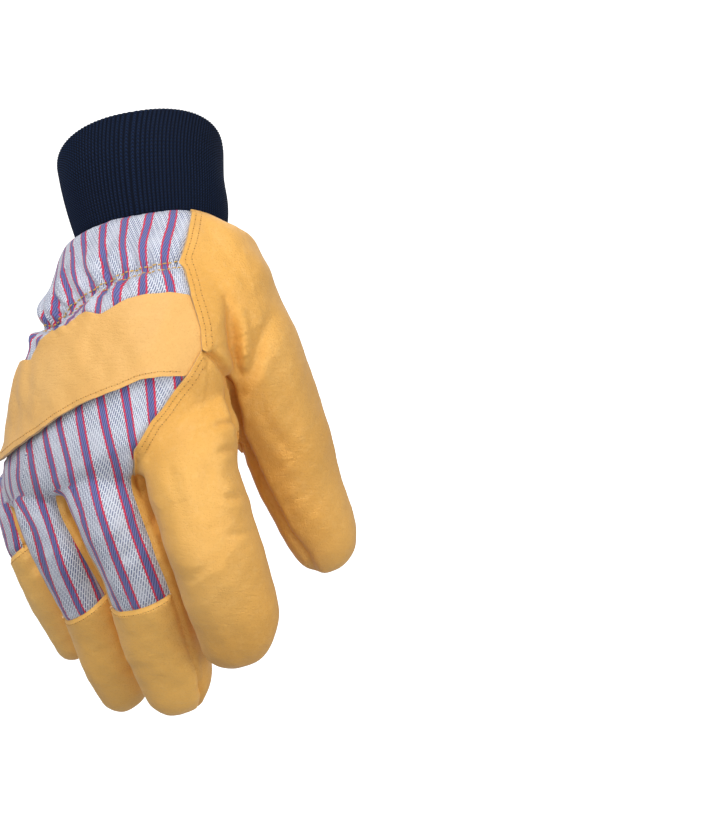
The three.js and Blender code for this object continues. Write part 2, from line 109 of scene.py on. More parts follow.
THUMB_ROWS = (
    (0.190, -0.182, -0.116, 0.139, 0.164, 20, -10, 0),
    (0.212, -0.236, -0.179, 0.159, 0.200, 24, -1, 0),
    (0.238, -0.255, -0.241, 0.150, 0.209, 28, 9, 0),
    (0.297, -0.200, -0.316, 0.155, 0.207, 33, 15, 0),
    (0.365, -0.109, -0.397, 0.143, 0.191, 36, 18, 0),
    (0.422, -0.027, -0.473, 0.124, 0.167, 36, 19, 0),
    (0.461, 0.036, -0.543, 0.107, 0.149, 36, 19, 0),
    (0.507, 0.109, -0.607, 0.097, 0.133, 36, 16, 0),
    (0.558, 0.200, -0.673, 0.090, 0.115, 36, 10, 0),
)


def spread(rows):
    """A tube's rows in metres and radians, with their distances along it and their slopes."""
    table = np.array(rows, float)
    table[:, :5] *= (SPAN, DEPTH, LENGTH, SPAN, DEPTH)
    table[:, 5:] = np.radians(table[:, 5:])
    stops = np.r_[0, np.cumsum(np.linalg.norm(np.diff(table[:, :3], axis=0), axis=1))]
    before = np.maximum(np.arange(len(table)) - 1, 0)
    after = np.minimum(np.arange(len(table)) + 1, len(table) - 1)
    slopes = (table[after] - table[before]) / (stops[after] - stops[before])[:, None]
    return table, stops, slopes


def rows_at(line, distance):
    """Rows of the tube at distances along its line, straight on past both ends."""
    table, stops, slopes = line
    distance = np.asarray(distance, float)
    inside = np.clip(distance, 0, stops[-1])
    i = np.clip(np.searchsorted(stops, inside, side="right") - 1, 0, len(stops) - 2)
    step = (stops[i + 1] - stops[i])[:, None]
    s = (inside - stops[i])[:, None] / step
    rows = (
        (2 * s**3 - 3 * s**2 + 1) * table[i]
        + (s**3 - 2 * s**2 + s) * step * slopes[i]
        + (3 * s**2 - 2 * s**3) * table[i + 1]
        + (s**3 - s**2) * step * slopes[i + 1]
    )
    past = (distance - inside)[:, None]
    end = np.where(past < 0, slopes[0], slopes[-1])
    rows[:, :3] += past * end[:, :3]
    return rows


def unit(v):
    return v / np.maximum(np.linalg.norm(v, axis=-1, keepdims=True), 1e-12)


class Frames:
    """Centres, directions and half sizes of a tube at many distances."""

    def __init__(self, line, distance):
        self.distance = np.asarray(distance, float)
        rows = rows_at(line, self.distance)
        ahead = rows_at(line, self.distance + MM)[:, :3]
        behind = rows_at(line, self.distance - MM)[:, :3]
        self.centre = rows[:, :3]
        self.along = unit(ahead - behind)
        yaw, roll = rows[:, 5], rows[:, 6]
        self.across = np.stack(
            [np.cos(yaw) * np.cos(roll), -np.sin(yaw) * np.cos(roll), np.sin(roll)], 1
        )
        outward = unit(np.cross(self.across, self.along))
        self.outward = outward * np.where(outward[:, 1:2] > 0, -1, 1)
        self.half_width = rows[:, 3]
        self.half_depth = rows[:, 4]
        self.bend = rows[:, 7]

    def skin(self, turns, grow=0.0, share=1.0):
        """Rings of skin points: angle 0 on the thumb side, a quarter turn is the back of the hand."""
        share = np.broadcast_to(np.asarray(share, float), self.distance.shape)[:, None]
        c, s = np.cos(turns)[None, :], np.sin(turns)[None, :]
        power = 2 / ROUNDNESS
        w = (self.half_width[:, None] + grow) * share * np.sign(c) * abs(c) ** power
        d = (self.half_depth[:, None] + grow) * share * np.sign(s) * abs(s) ** power
        bend = np.maximum(self.bend, 1e-4)[:, None]
        radius = 2 * self.half_width[:, None] / bend
        turn = w / radius
        w, d = (radius + d) * np.sin(turn), (radius + d) * np.cos(turn) - radius
        return (
            self.centre[:, None]
            + w[..., None] * self.across[:, None]
            + d[..., None] * self.outward[:, None]
        )


LINES = {
    "cuff": spread(CUFF_ROWS), "hand": spread(HAND_ROWS), "index": spread(INDEX_ROWS),
    "middle": spread(MIDDLE_ROWS), "ring": spread(RING_ROWS), "little": spread(LITTLE_ROWS),
    "thumb": spread(THUMB_ROWS),
}
FINGERS = ("index", "middle", "ring", "little", "thumb")


def length_of(name):
    return LINES[name][1][-1]


def band(rows, around):
    """Triangles between rings of points that follow each other."""
    r, i = np.meshgrid(np.arange(rows - 1), np.arange(around), indexing="ij")
    a, b = (r * around + i).ravel(), (r * around + (i + 1) % around).ravel()
    return np.vstack([np.stack([a, b, b + around], 1), np.stack([a, b + around, a + around], 1)])


def loft(rings):
    """Vertices and triangles of a closed solid through rings, each end closed to its middle."""
    count = rings.shape[1]
    verts = np.vstack([rings.reshape(-1, 3), rings[0].mean(0), rings[-1].mean(0)])
    faces = band(len(rings), count)
    k = np.arange(count)
    head, foot, base = len(verts) - 2, len(verts) - 1, (len(rings) - 1) * count
    ends = [
        np.stack([np.full(count, head), (k + 1) % count, k], 1),
        np.stack([np.full(count, foot), base + k, base + (k + 1) % count], 1),
    ]
    faces = np.vstack([faces, *ends])
    a, b, c = verts[faces[:, 0]], verts[faces[:, 1]], verts[faces[:, 2]]
    if np.einsum("ij,ij->i", a, np.cross(b, c)).sum() < 0:
        faces = faces[:, ::-1]
    return verts, faces


def finger_solid(name):
    """A finger or the thumb as a closed tube with a round tip."""
    end = length_of(name) + GROW
    dome = LINES[name][0][-1, 3] * TIP_SHARE
    rise = np.sin(np.linspace(0, 1, 14)[:-1] * math.pi / 2)
    distance = np.r_[np.linspace(0, end - dome, 40)[:-1], end - dome + dome * rise]
    share = np.r_[np.ones(39), (1 - rise**ROUNDNESS) ** (1 / ROUNDNESS)]
    return loft(Frames(LINES[name], distance).skin(turns(64), GROW, share))


def turns(count):
    return np.arange(count) * 2 * math.pi / count


def joined(parts):
    verts, faces, base = [], [], 0
    for v, f in parts:
        verts.append(v)
        faces.append(f + base)
        base += len(v)
    return np.vstack(verts), np.vstack(faces)


def new_mesh(name, verts, faces):
    mesh = bpy.data.meshes.new(name)
    mesh.vertices.add(len(verts))
    mesh.vertices.foreach_set("co", np.asarray(verts, np.float32).ravel())
    faces = np.asarray(faces, np.int32)
    sides = faces.shape[1]
    mesh.loops.add(faces.size)
    mesh.loops.foreach_set("vertex_index", faces.ravel())
    mesh.polygons.add(len(faces))
    mesh.polygons.foreach_set("loop_start", np.arange(0, faces.size, sides, dtype=np.int32))
    mesh.polygons.foreach_set("use_smooth", np.ones(len(faces), bool))
    mesh.update(calc_edges=True)
    return mesh


def new_object(name, mesh):
    obj = bpy.data.objects.new(name, mesh)
    bpy.context.scene.collection.objects.link(obj)
    return obj


def fused(parts, voxel):
    """One skin around overlapping solids, as vertices and triangles."""
    obj = new_object("fusing", new_mesh("fusing", *joined(parts)))
    remesh = obj.modifiers.new("fuse", "REMESH")
    remesh.mode = "VOXEL"
    remesh.voxel_size = voxel
    graph = bpy.context.evaluated_depsgraph_get()
    mesh = obj.evaluated_get(graph).to_mesh()
    verts = np.empty(len(mesh.vertices) * 3, np.float32)
    mesh.vertices.foreach_get("co", verts)
    mesh.calc_loop_triangles()
    faces = np.empty(len(mesh.loop_triangles) * 3, np.int32)
    mesh.loop_triangles.foreach_get("vertices", faces)
    verts, faces = verts.reshape(-1, 3).astype(float), faces.reshape(-1, 3)
    bpy.data.objects.remove(obj)
    return verts, faces


def edges_of(faces):
    pairs = np.vstack([faces[:, [0, 1]], faces[:, [1, 2]], faces[:, [2, 0]]])
    pairs.sort(axis=1)
    return np.unique(pairs, axis=0)


def averaged(values, edges, count):
    """Each vertex's mean over its neighbours."""
    degree = np.bincount(edges.ravel(), minlength=count).astype(float)
    out = np.empty_like(values)
    for k in range(values.shape[1]):
        total = np.bincount(edges[:, 0], values[edges[:, 1], k], count)
        total += np.bincount(edges[:, 1], values[edges[:, 0], k], count)
        out[:, k] = total / np.maximum(degree, 1)
    return out


def smoothed(verts, edges, rounds, strength=0.5):
    for _ in range(rounds):
        verts = verts + strength * (averaged(verts, edges, len(verts)) - verts)
    return verts


def normals_of(verts, faces):
    a, b, c = verts[faces[:, 0]], verts[faces[:, 1]], verts[faces[:, 2]]
    n = np.cross(b - a, c - a)
    out = np.zeros_like(verts)
    for k in range(3):
        for j in range(3):
            out[:, j] += np.bincount(faces[:, k], n[:, j], len(verts))
    return unit(out)


def step(x, low, high):
    """Softly from zero at one value to one at the other."""
    s = np.clip((x - low) / (high - low), 0, 1)
    return s * s * (3 - 2 * s)


def bell(x, width):
    """One at zero and falling off to both sides."""
    return np.exp(-((x / width) ** 2))


def seen(points):
    """Across and down in cells, as the glove is seen from the front."""
    scale = VIEW_DISTANCE / (VIEW_DISTANCE + points[:, 1]) / CELL
    across = VIEW_ACROSS + (points[:, 0] - VIEW_ACROSS * CELL) * scale
    down = VIEW_DOWN - (points[:, 2] + VIEW_DOWN * CELL) * scale
    return across, down


class TubePlace:
    """Where points lie on a tube: distance along it, across, outward, angle and ratio to its skin."""

    def __init__(self, name, points):
        line = LINES[name]
        frames = Frames(line, np.arange(-14 * MM, line[1][-1] + 14 * MM, 1.5 * MM))
        ring_normal = unit(np.cross(frames.across, frames.outward))
        best = np.full(len(points), np.inf)
        pick = np.zeros(len(points), int)
        for i in range(len(frames.distance)):
            gap = points - frames.centre[i]
            score = abs(gap @ ring_normal[i]) * 3 + np.linalg.norm(gap, axis=1)
            closer = score < best
            best[closer], pick[closer] = score[closer], i
        gap = points - frames.centre[pick]
        lean = np.einsum("ij,ij->i", ring_normal[pick], frames.along[pick])
        shift = np.einsum("ij,ij->i", gap, ring_normal[pick]) / lean
        self.s = frames.distance[pick] + np.clip(shift, -2 * MM, 2 * MM)
        here = Frames(line, self.s)
        gap = points - here.centre
        w = np.einsum("ij,ij->i", gap, here.across)
        d = np.einsum("ij,ij->i", gap, here.outward)
        radius = 2 * here.half_width / np.maximum(here.bend, 1e-4)
        reach = np.hypot(w, d + radius)
        self.w = np.where(here.bend > 1e-3, np.arctan2(w, d + radius) * radius, w)
        self.d = np.where(here.bend > 1e-3, reach - radius, d)
        x, y = self.w / here.half_width, self.d / here.half_depth
        self.ratio = (abs(x) ** ROUNDNESS + abs(y) ** ROUNDNESS) ** (1 / ROUNDNESS)
        power = ROUNDNESS / 2
        angle = np.arctan2(np.sign(y) * abs(y) ** power, np.sign(x) * abs(x) ** power)
        self.angle = np.degrees(angle) % 360
        self.radius = (here.half_width + here.half_depth) / 2
        self.share = self.s / line[1][-1]


def base_form():
    """The whole glove's outer form in one skin, before any crease."""
    hand = Frames(LINES["hand"], np.linspace(-9 * MM, length_of("hand"), 60)).skin(turns(120), GROW)
    parts = [loft(hand)] + [finger_solid(name) for name in FINGERS]
    return fused(parts, VOXEL)


verts, faces = base_form()
edges = edges_of(faces)
verts = smoothed(verts, edges, 14)


# Outlines seen from the front, in cells across and down from the middle of the rim
CANVAS_EDGE = (
    (52, 30), (52, 54), (47, 80), (40, 102), (45, 109), (50, 128), (51, 137), (60, 169), (62, 190),
    (50, 211), (34, 232), (22, 250), (12, 261), (5, 273), (-6, 292), (-5, 326),
)
KNUCKLE_EDGE = (
    (-40, 345), (-70, 365), (-95, 372), (-120, 380), (-190, 390), (-190, 30),
)
THUMB_SEAM = (
    (72, 195), (78, 201), (84, 211), (90, 225), (94, 241), (98, 252), (100, 272), (113, 300),
    (132, 339), (148, 369), (166, 394), (180, 417),
)
FAR_RIGHT = ((300, 480), (300, 10), (52, 10))
PALM_SEAM = (
    (6, 30), (8, 80), (13, 120), (18, 152), (21, 185), (33, 218), (53, 245), (75, 264), (95, 276),
    (99, 288), (105, 320), (114, 347), (131, 378), (146, 404), (157, 440),
)
FAR_RIGHT_PALM = ((300, 480), (300, 10), (6, 10))


def polygon_depth(x, y, outline):
    """Distance in cells to an outline, positive inside."""
    points = np.array(outline, float)
    inside = np.zeros(len(x), bool)
    nearest = np.full(len(x), np.inf)
    for (ax, ay), (bx, by) in zip(points, np.roll(points, -1, axis=0)):
        crosses = (ay > y) != (by > y)
        level = np.where(by == ay, 1e-9, by - ay)
        inside ^= crosses & (x < (bx - ax) * (y - ay) / level + ax)
        nearest = np.minimum(nearest, segment_distance(x, y, ax, ay, bx, by)[0])
    return np.where(inside, nearest, -nearest)


def segment_distance(x, y, ax, ay, bx, by):
    dx, dy = bx - ax, by - ay
    t = np.clip(((x - ax) * dx + (y - ay) * dy) / (dx * dx + dy * dy), 0, 1)
    return np.hypot(x - ax - t * dx, y - ay - t * dy), t


def path_place(x, y, path):
    """Distance in cells to an open path, with its side, and the share of the path nearest."""
    points = np.array(path, float)
    lengths = np.hypot(*np.diff(points, axis=0).T)
    run = np.r_[0, np.cumsum(lengths)]
    nearest = np.full(len(x), np.inf)
    side = np.zeros(len(x))
    share = np.zeros(len(x))
    for i, ((ax, ay), (bx, by)) in enumerate(zip(points[:-1], points[1:])):
        gap, t = segment_distance(x, y, ax, ay, bx, by)
        closer = gap < nearest
        cross = (bx - ax) * (y - ay) - (by - ay) * (x - ax)
        nearest[closer] = gap[closer]
        side[closer] = np.sign(cross)[closer]
        share[closer] = ((run[i] + t * lengths[i]) / run[-1])[closer]
    return nearest * np.where(side == 0, 1, side), share


def within(place, first, last):
    """Depth in metres inside an angle range of a tube, positive inside."""
    middle, half = (first + last) / 2, (last - first) / 2
    off = abs((place.angle - middle + 180) % 360 - 180)
    return np.radians(half - off) * place.radius


def own(place, slack=0.16):
    """Depth inside the tube's own skin."""
    return (1 + slack - place.ratio) * place.radius


# Where each cap starts and each side wall starts or ends, as shares of the finger's length
CAP = {"middle": 0.52, "ring": 0.52, "little": 0.34}
CROTCH = {
    "middle_in": 0.04, "middle_out": 0.2, "ring_in": 0.14, "ring_out": 0.2, "little_in": 0.12,
}
FRONT_START = {"middle": 0.2, "ring": 0.16}


def regions_of(points, place, across, down):
    """Depth in metres inside each piece's region, in the order in which the pieces are cut."""
    y = points[:, 1]

    def slab(name, first, last, start, end, slack=0.16):
        p = place[name]
        length = length_of(name)
        parts = [within(p, first, last), own(p, slack), p.s - start * length]
        if end < 1:
            parts.append(end * length - p.s)
        return np.minimum.reduce(parts)

    def cells(outline):
        return polygon_depth(across, down, outline) * CELL

    split = np.interp(down, SPLIT_DOWN, SPLIT_REACH) * MM
    inner = np.interp(place["middle"].s / length_of("middle"), (0.1, 0.24, 0.4), (18, 26, 38))
    return {
        "middle_tip": slab("middle", 38, 208, CAP["middle"], 1),
        "ring_tip": slab("ring", -28, 208, CAP["ring"], 1),
        "little_tip": slab("little", -28, 208, CAP["little"], 1),
        "middle_front": slab("middle", 208, 332, FRONT_START["middle"], 1, 0.4),
        "ring_front": slab("ring", 208, 332, FRONT_START["ring"], 1, 0.4),
        "fourchette_middle": slab("middle", -28, inner, CROTCH["middle_in"], 1),
        "fourchette_ring": np.maximum(
            slab("middle", 150, 208, CROTCH["middle_out"], CAP["middle"]),
            slab("ring", -28, 30, CROTCH["ring_in"], CAP["ring"]),
        ),
        "fourchette_little": np.maximum(
            slab("ring", 150, 208, CROTCH["ring_out"], CAP["ring"]),
            slab("little", -28, 54, CROTCH["little_in"], CAP["little"]),
        ),
        "thumb_back": np.minimum(cells(CANVAS_EDGE[:9] + THUMB_SEAM + FAR_RIGHT), split - y),
        "thumb_front": np.minimum(
            cells(PALM_SEAM + FAR_RIGHT_PALM), np.maximum(y + 26 * MM, (across - 100) * CELL)
        ),
        "hand_back": np.maximum.reduce([
            np.minimum(cells(CANVAS_EDGE + KNUCKLE_EDGE), within(place["hand"], 0, 194)),
            slab("middle", inner, 150, 0, CAP["middle"]),
            slab("ring", 30, 150, 0, CAP["ring"]),
            slab("little", 54, 195, 0, CAP["little"]),
        ]),
    }


# Where the thumb's back and front meet: levels in cells down, then y in mm
SPLIT_DOWN = (40, 74, 108, 143, 190, 240, 286, 328, 366, 406)
SPLIT_REACH = (-18, -18, -20, -20, -16, -7, 2, 9, 18, 31)


def clip(data, faces, field):
    """Cuts a mesh along field = 0. data holds a row per vertex. Returns data and both sides' faces."""
    data, field = data.copy(), field.copy()
    edges = edges_of(faces)
    fa, fb = field[edges[:, 0]], field[edges[:, 1]]
    cut = edges[(fa > 0) != (fb > 0)]
    fa, fb = field[cut[:, 0]], field[cut[:, 1]]
    t = fa / (fa - fb)
    snap = 0.22
    for column, near in ((0, t < snap), (1, t > 1 - snap)):
        who = cut[near, column]
        where = data[cut[near, 0]] * (1 - t[near, None]) + data[cut[near, 1]] * t[near, None]
        data[who] = where
        field[who] = 0
    f = field[faces]
    pos, neg, zero = (f > 0).sum(1), (f < 0).sum(1), (f == 0).sum(1)
    inside = [faces[(neg == 0) & (pos > 0)]]
    outside = [faces[pos == 0]]
    split = faces[(pos > 0) & (neg > 0)]
    fs = field[split]
    new_rows, key_of = [], {}

    def middle(a, b):
        lo, hi = np.minimum(a, b), np.maximum(a, b)
        keys = lo.astype(np.int64) * len(data) + hi
        unique, inverse = np.unique(keys, return_inverse=True)
        out = np.empty(len(unique), int)
        for n, key in enumerate(unique):
            if key not in key_of:
                i, j = divmod(int(key), len(data))
                s = field[i] / (field[i] - field[j])
                key_of[key] = len(data) + len(new_rows)
                new_rows.append(data[i] * (1 - s) + data[j] * s)
            out[n] = key_of[key]
        return out[inverse]

    has_zero = (fs == 0).any(1)
    tri, ft = split[has_zero], fs[has_zero]
    if len(tri):
        first = np.argmax(ft == 0, axis=1)
        rows = np.arange(len(tri))
        z, p, q = (tri[rows, (first + k) % 3] for k in range(3))
        m = middle(p, q)
        up = field[p] > 0
        one, two = np.stack([z, p, m], 1), np.stack([z, m, q], 1)
        inside += [one[up], two[~up]]
        outside += [one[~up], two[up]]
    tri, ft = split[~has_zero], fs[~has_zero]
    if len(tri):
        up = ft > 0
        lone_up = up.sum(1) == 1
        first = np.where(lone_up, np.argmax(up, axis=1), np.argmax(~up, axis=1))
        rows = np.arange(len(tri))
        a, b, c = (tri[rows, (first + k) % 3] for k in range(3))
        ab, ac = middle(a, b), middle(a, c)
        tip = np.stack([a, ab, ac], 1)
        base = np.vstack([np.stack([ab, b, c], 1), np.stack([ab, c, ac], 1)])
        twice = np.r_[lone_up, lone_up]
        inside += [tip[lone_up], base[~twice]]
        outside += [tip[~lone_up], base[twice]]
    if new_rows:
        data = np.vstack([data, new_rows])
    return data, np.vstack(inside), np.vstack(outside)


def tidy(data, faces):
    """Without the rows that no face uses."""
    used, inverse = np.unique(faces, return_inverse=True)
    return data[used], inverse.reshape(faces.shape)


def largest(data, faces, least=60):
    """The faces of islands with at least some faces, and the crumbs that are left."""
    label = np.arange(len(data))
    edges = edges_of(faces)
    while True:
        low = np.minimum(label[edges[:, 0]], label[edges[:, 1]])
        before = label.copy()
        np.minimum.at(label, edges[:, 0], low)
        np.minimum.at(label, edges[:, 1], low)
        label = label[label]
        if np.array_equal(before, label):
            break
    sizes = np.bincount(label[faces[:, 0]], minlength=len(data))
    return faces[sizes[label[faces[:, 0]]] >= least], faces[sizes[label[faces[:, 0]]] < least]


# Stripe middles: a level in cells down, then cells across for each stripe
STRIPES = (
    (55, 34, 10, -15, -36, -56, -70, -82, -90, -96, -102),
    (80, 28, 4, -17, -38, -57, -68, -80, -90, -96, -102),
    (105, 23, 4, -12, -33, -54, -64, -78, -88, -94, -100),
    (125, 32, 4, -20, -32, -48, -60, -72, -85, -92, -98),
    (140, 32, 2, -23, -40, -52, -58, -68, -82, -91, -98),
    (160, 32, 4, -22, -42, -56, -68, -78, -86, -92, -96),
    (180, 34, 6, -20, -42, -62, -80, -90, -98, -102, -106),
    (225, 40, 10, -16, -42, -64, -84, -98, -116, -130, -140),
    (260, 42, 12, -10, -36, -60, -82, -96, -114, -128, -136),
    (295, 50, 20, -5, -26, -54, -74, -90, -111, -125, -136),
    (320, 58, 30, 4, -20, -48, -68, -85, -106, -127, -138),
    (340, 66, 38, 10, -14, -44, -63, -73, -100, -122, -136),
    (365, 76, 48, 20, -7, -36, -56, -66, -92, -107, -127),
    (400, 90, 62, 36, 6, -24, -48, -54, -81, -96, -122),
    (425, 102, 74, 46, 16, -14, -40, -42, -72, -88, -116),
    (450, 112, 84, 56, 26, -4, -24, -34, -60, -78, -108),
    (480, 124, 96, 70, 38, 10, -8, -18, -42, -62, -96),
)
# The elastic line and the strap's outline, in cells across and down
ELASTIC = (
    (50, 102), (38, 103), (22, 105), (12, 107), (-6, 111), (-20, 116), (-28, 120), (-34, 124),
    (-44, 128), (-52, 133), (-58, 138), (-64, 141), (-76, 152), (-86, 161), (-92, 166), (-200, 167),
)
STRAP_EDGE = (
    (50, 135), (30, 133), (6, 136), (-10, 140), (-18, 144), (-36, 155), (-42, 155), (-50, 153),
    (-56, 156), (-68, 166), (-84, 174), (-96, 183), (-104, 195), (-106, 201), (-115, 202),
    (-118, 205), (-140, 215), (-170, 225),
)
STRAP_FOOT = (
    (-170, 320), (-134, 300), (-120, 287), (-96, 271), (-78, 257), (-58, 245), (-38, 236),
    (-20, 229), (2, 219), (22, 216), (46, 216),
)
STRAP_END = ((50, 211), (62, 190), (62, 181), (60, 169))

# Creases seen from the front: depth and width in cells, then their points across and down
FRONT_CREASES = (
    (2.8, 4, (95, 262), (84, 264), (72, 268)),
    (2.6, 4, (99, 287), (88, 290), (78, 292)),
    (2.2, 5, (103, 335), (94, 338), (84, 338)),
    (1.2, 4, (110, 372), (98, 375), (86, 374)),
    (6.0, 6.5, (86, 138), (91, 162), (95, 188), (99, 214), (100, 234)),
    (-4.5, 6.5, (99, 152), (104, 174), (105, 204)),
    (4.2, 8, (132, 158), (122, 182), (113, 206), (105, 230)),
    (2.6, 9, (62, 62), (78, 82), (90, 100)),
    (2.4, 9, (88, 96), (102, 114), (112, 136)),
    (2.0, 8, (132, 206), (146, 236), (156, 268)),
    (1.4, 7, (120, 244), (132, 268), (146, 290)),
    (6.0, 4.5, (86, 230), (92, 246), (97, 264)),
    (4.5, 4, (-3, 292), (-3, 310), (1, 336)),
    (1.4, 8, (60, 262), (66, 300), (72, 336)),
    (1.2, 7, (30, 300), (36, 330), (44, 356)),
    (2.0, 4, (62, 494), (64, 516), (58, 542)),
    (1.3, 5, (30, 480), (44, 486), (58, 488)),
    (1.2, 6, (-22, 500), (-10, 508), (4, 508)),
)
# Gathers in the canvas: depth and width in cells, then their points
GATHERS = (
    (6.0, 4, (-26, 74), (-32, 90), (-35, 104), (-30, 118)),
    (8.0, 4.5, (-60, 86), (-58, 102), (-54, 116), (-47, 130)),
    (7.0, 4, (-74, 98), (-72, 118), (-66, 140)),
    (6.0, 4, (-90, 118), (-86, 134), (-79, 152)),
    (3.0, 4.5, (12, 56), (8, 80), (8, 104)),
    (2.8, 4.5, (-8, 62), (-8, 88), (-5, 108)),
    (3.0, 4.5, (32, 56), (28, 82), (26, 104)),
    (3.6, 4, (24, 106), (30, 118), (33, 132)),
    (3.2, 4, (44, 104), (46, 118), (48, 132)),
    (3.6, 4, (-8, 110), (-14, 124), (-20, 138)),
    (4.2, 4.5, (-29, 122), (-36, 134), (-42, 150)),
    (3.8, 4.5, (-52, 134), (-60, 146), (-68, 160)),
    (3.4, 4.5, (-70, 148), (-80, 160), (-90, 174)),
    (5.0, 5, (-104, 120), (-106, 142), (-102, 162)),
    (6.0, 6, (-130, 112), (-126, 136), (-130, 162)),
    (5.0, 5, (-152, 116), (-150, 140), (-152, 164)),
    (4.0, 6, (-112, 172), (-116, 190), (-112, 212)),
    (4.0, 6, (-138, 172), (-136, 192), (-140, 216)),
)
# Creases of the palm, seen from the front through the glove
PALM_CREASES = (
    (5.0, 15, (-100, 240), (-60, 240), (-20, 244), (20, 246)),
    (4.0, 13, (-96, 290), (-60, 284), (-20, 278), (16, 270)),
    (3.6, 14, (-104, 352), (-70, 356), (-30, 360), (10, 356)),
    (4.6, 10, (-14, 128), (-8, 152), (0, 176), (4, 200)),
    (3.0, 9, (66, 256), (88, 250), (110, 246)),
    (4.0, 12, (58, 292), (80, 290), (104, 300)),
    (2.4, 8, (62, 340), (84, 346), (106, 356)),
    (2.0, 7, (84, 322), (100, 330), (112, 330)),
    (2.6, 12, (-80, 414), (-62, 420), (-40, 424)),
    (2.6, 10, (-36, 400), (-14, 408), (8, 404)),
    (2.0, 9, (20, 396), (44, 402), (60, 396)),
)


# Unevenness of the whole skin: height and wave length in mm
RIPPLES = ((0.45, 30), (0.16, 11))
# How the canvas sinks and puffs at the elastic line: height in mm, place and width in cells
ELASTIC_PUFFS = ((-2.8, 0, 4.5), (2.2, 20, 13), (1.4, -12, 8))


def push_in(across, down, creases, weight):
    """Inward push in metres of a set of creases, with a soft swelling on both sides."""
    total = np.zeros(len(across))
    for depth, width, *path in creases:
        gap, _ = path_place(across, down, path)
        fade = end_fade(across, down, path, width)
        total += fade * CREASE * depth * (bell(gap, width) - 0.35 * bell(gap, 2.6 * width))
    return total * weight


def end_fade(across, down, path, width):
    """One along a path and falling off softly before both its ends."""
    _, share = path_place(across, down, path)
    (ax, ay), (bx, by) = path[0], path[-1]
    near = np.minimum(np.hypot(across - ax, down - ay), np.hypot(across - bx, down - by))
    inner = step(np.minimum(share, 1 - share), 0, 0.25)
    return inner + (1 - inner) * 0.5 * bell(near, 1.5 * width)


def ripple(points, length, waves=9):
    """Smooth unevenness of about unit size, at a wave length in metres."""
    total = np.zeros(len(points))
    for _ in range(waves):
        way = unit(rng.normal(size=3))
        turn = 2 * math.pi * rng.uniform(0.7, 1.4) / length
        total += np.sin(points @ way * turn + rng.uniform(0, 2 * math.pi))
    return total / math.sqrt(waves)


def sculpt(points, normals, across, down, flat_across):
    """Outward push of the whole skin, in metres, and the distance from the elastic line."""
    front = step(-normals[:, 1], -0.15, 0.35)
    back = step(normals[:, 1], -0.15, 0.35)
    push = sum(height * MM * ripple(points, length * MM) for height, length in RIPPLES)
    push -= push_in(across, down, FRONT_CREASES, front)
    push -= push_in(across, down, PALM_CREASES, back)
    elastic, run = path_place(flat_across, down, ELASTIC)
    cloth = step(-normals[:, 1], -0.75, -0.25)
    cloth = cloth * step(polygon_depth(across, down, CANVAS_EDGE + KNUCKLE_EDGE), -1, 5)
    gather = bell(elastic, 30) * (1 - 0.6 * bell(elastic, 2.5))
    push -= push_in(flat_across, down, GATHERS, cloth * gather)
    wave = np.sin(2 * math.pi * (28 * run + 0.7 * np.sin(15 * run))) * bell(elastic, 15)
    puffs = sum(height * bell(elastic - at, width) for height, at, width in ELASTIC_PUFFS)
    push += cloth * MM * (wave + puffs)
    rim = step(-normals[:, 0], 0.2, 0.8) * step(-across, 70, 92)
    push -= rim * MM * 2.4 * bell(elastic, 7)
    seam, share = path_place(across, down, THUMB_SEAM)
    web = bell(share - 0.25, 0.2)
    push -= front * MM * ((1.6 + 2.4 * web) * bell(seam, 3.6) - 0.5 * bell(seam, 12))
    return push, elastic


# Cells from stripe to stripe: past the thumb side, round the far side, and past the last one
PITCH, SIDE_PITCH, LAST_PITCH = 24, 17, 14
CLOTH_TUBES = ("hand", "middle", "ring", "little")
# Angles in degrees past which a finger's stripes follow its skin
ANCHOR = {"middle": 108, "ring": 108, "little": 72}


def owner_of(place):
    """Which tube of the cloth back each point lies on."""
    off = []
    for name in CLOTH_TUBES:
        p = place[name]
        outside = p.share > 0.97 if name == "hand" else p.s < 2 * MM
        off.append(abs(p.ratio - 1) + outside * 5.0)
    return np.argmin(off, axis=0)


def wrapped(stripe, place):
    """Stripe numbers carried on round the far side of each finger."""
    owner = owner_of(place)
    for name, first in ANCHOR.items():
        p = place[name]
        x, down = seen(Frames(LINES[name], p.s).skin(np.radians([first]))[:, 0])
        over = (p.angle - first + 180) % 360 - 180
        number = stripe_number(x, down) + np.radians(over) * p.radius / CELL / SIDE_PITCH
        mine = (owner == CLOTH_TUBES.index(name)) & (over > 0)
        share = step(p.s, 3 * MM, 12 * MM) * mine
        stripe = stripe * (1 - share) + number * share
    return stripe


def flat_place(points, normals, place, across, down):
    """Places on the flat cloth: where they show, or leave the view at the left, and cells past it."""
    turned = np.degrees(np.arctan2(-normals[:, 0], -normals[:, 1]))
    near = (owner_of(place) == 0) & (abs(place["hand"].ratio - 1) < 0.15)
    depth = points[:, 1] / CELL
    levels = np.arange(34, 340, 4.0)
    edge = []
    for level in levels:
        here = near & (abs(down - level) < 6) & (turned > 40) & (turned < 60) & (across < 0)
        edge.append((across[here].mean(), depth[here].mean()) if here.sum() > 3 else (np.nan, np.nan))
    edge = np.array(edge)
    known = ~np.isnan(edge[:, 0])
    soft = np.hanning(15) / np.hanning(15).sum()
    lines = []
    for k in range(2):
        line = np.interp(levels, levels[known], edge[known, k])
        line = np.convolve(np.pad(line, 7, mode="edge"), soft, mode="valid")
        lines.append(np.interp(down, levels, line))
    edge_x, edge_depth = lines
    past = 0.95 * (depth - edge_depth) + 0.3 * (edge_x - across)
    mine = near & (past > 0) & (across < edge_x + 40)
    return np.where(mine, edge_x, across), np.where(mine, past, 0)


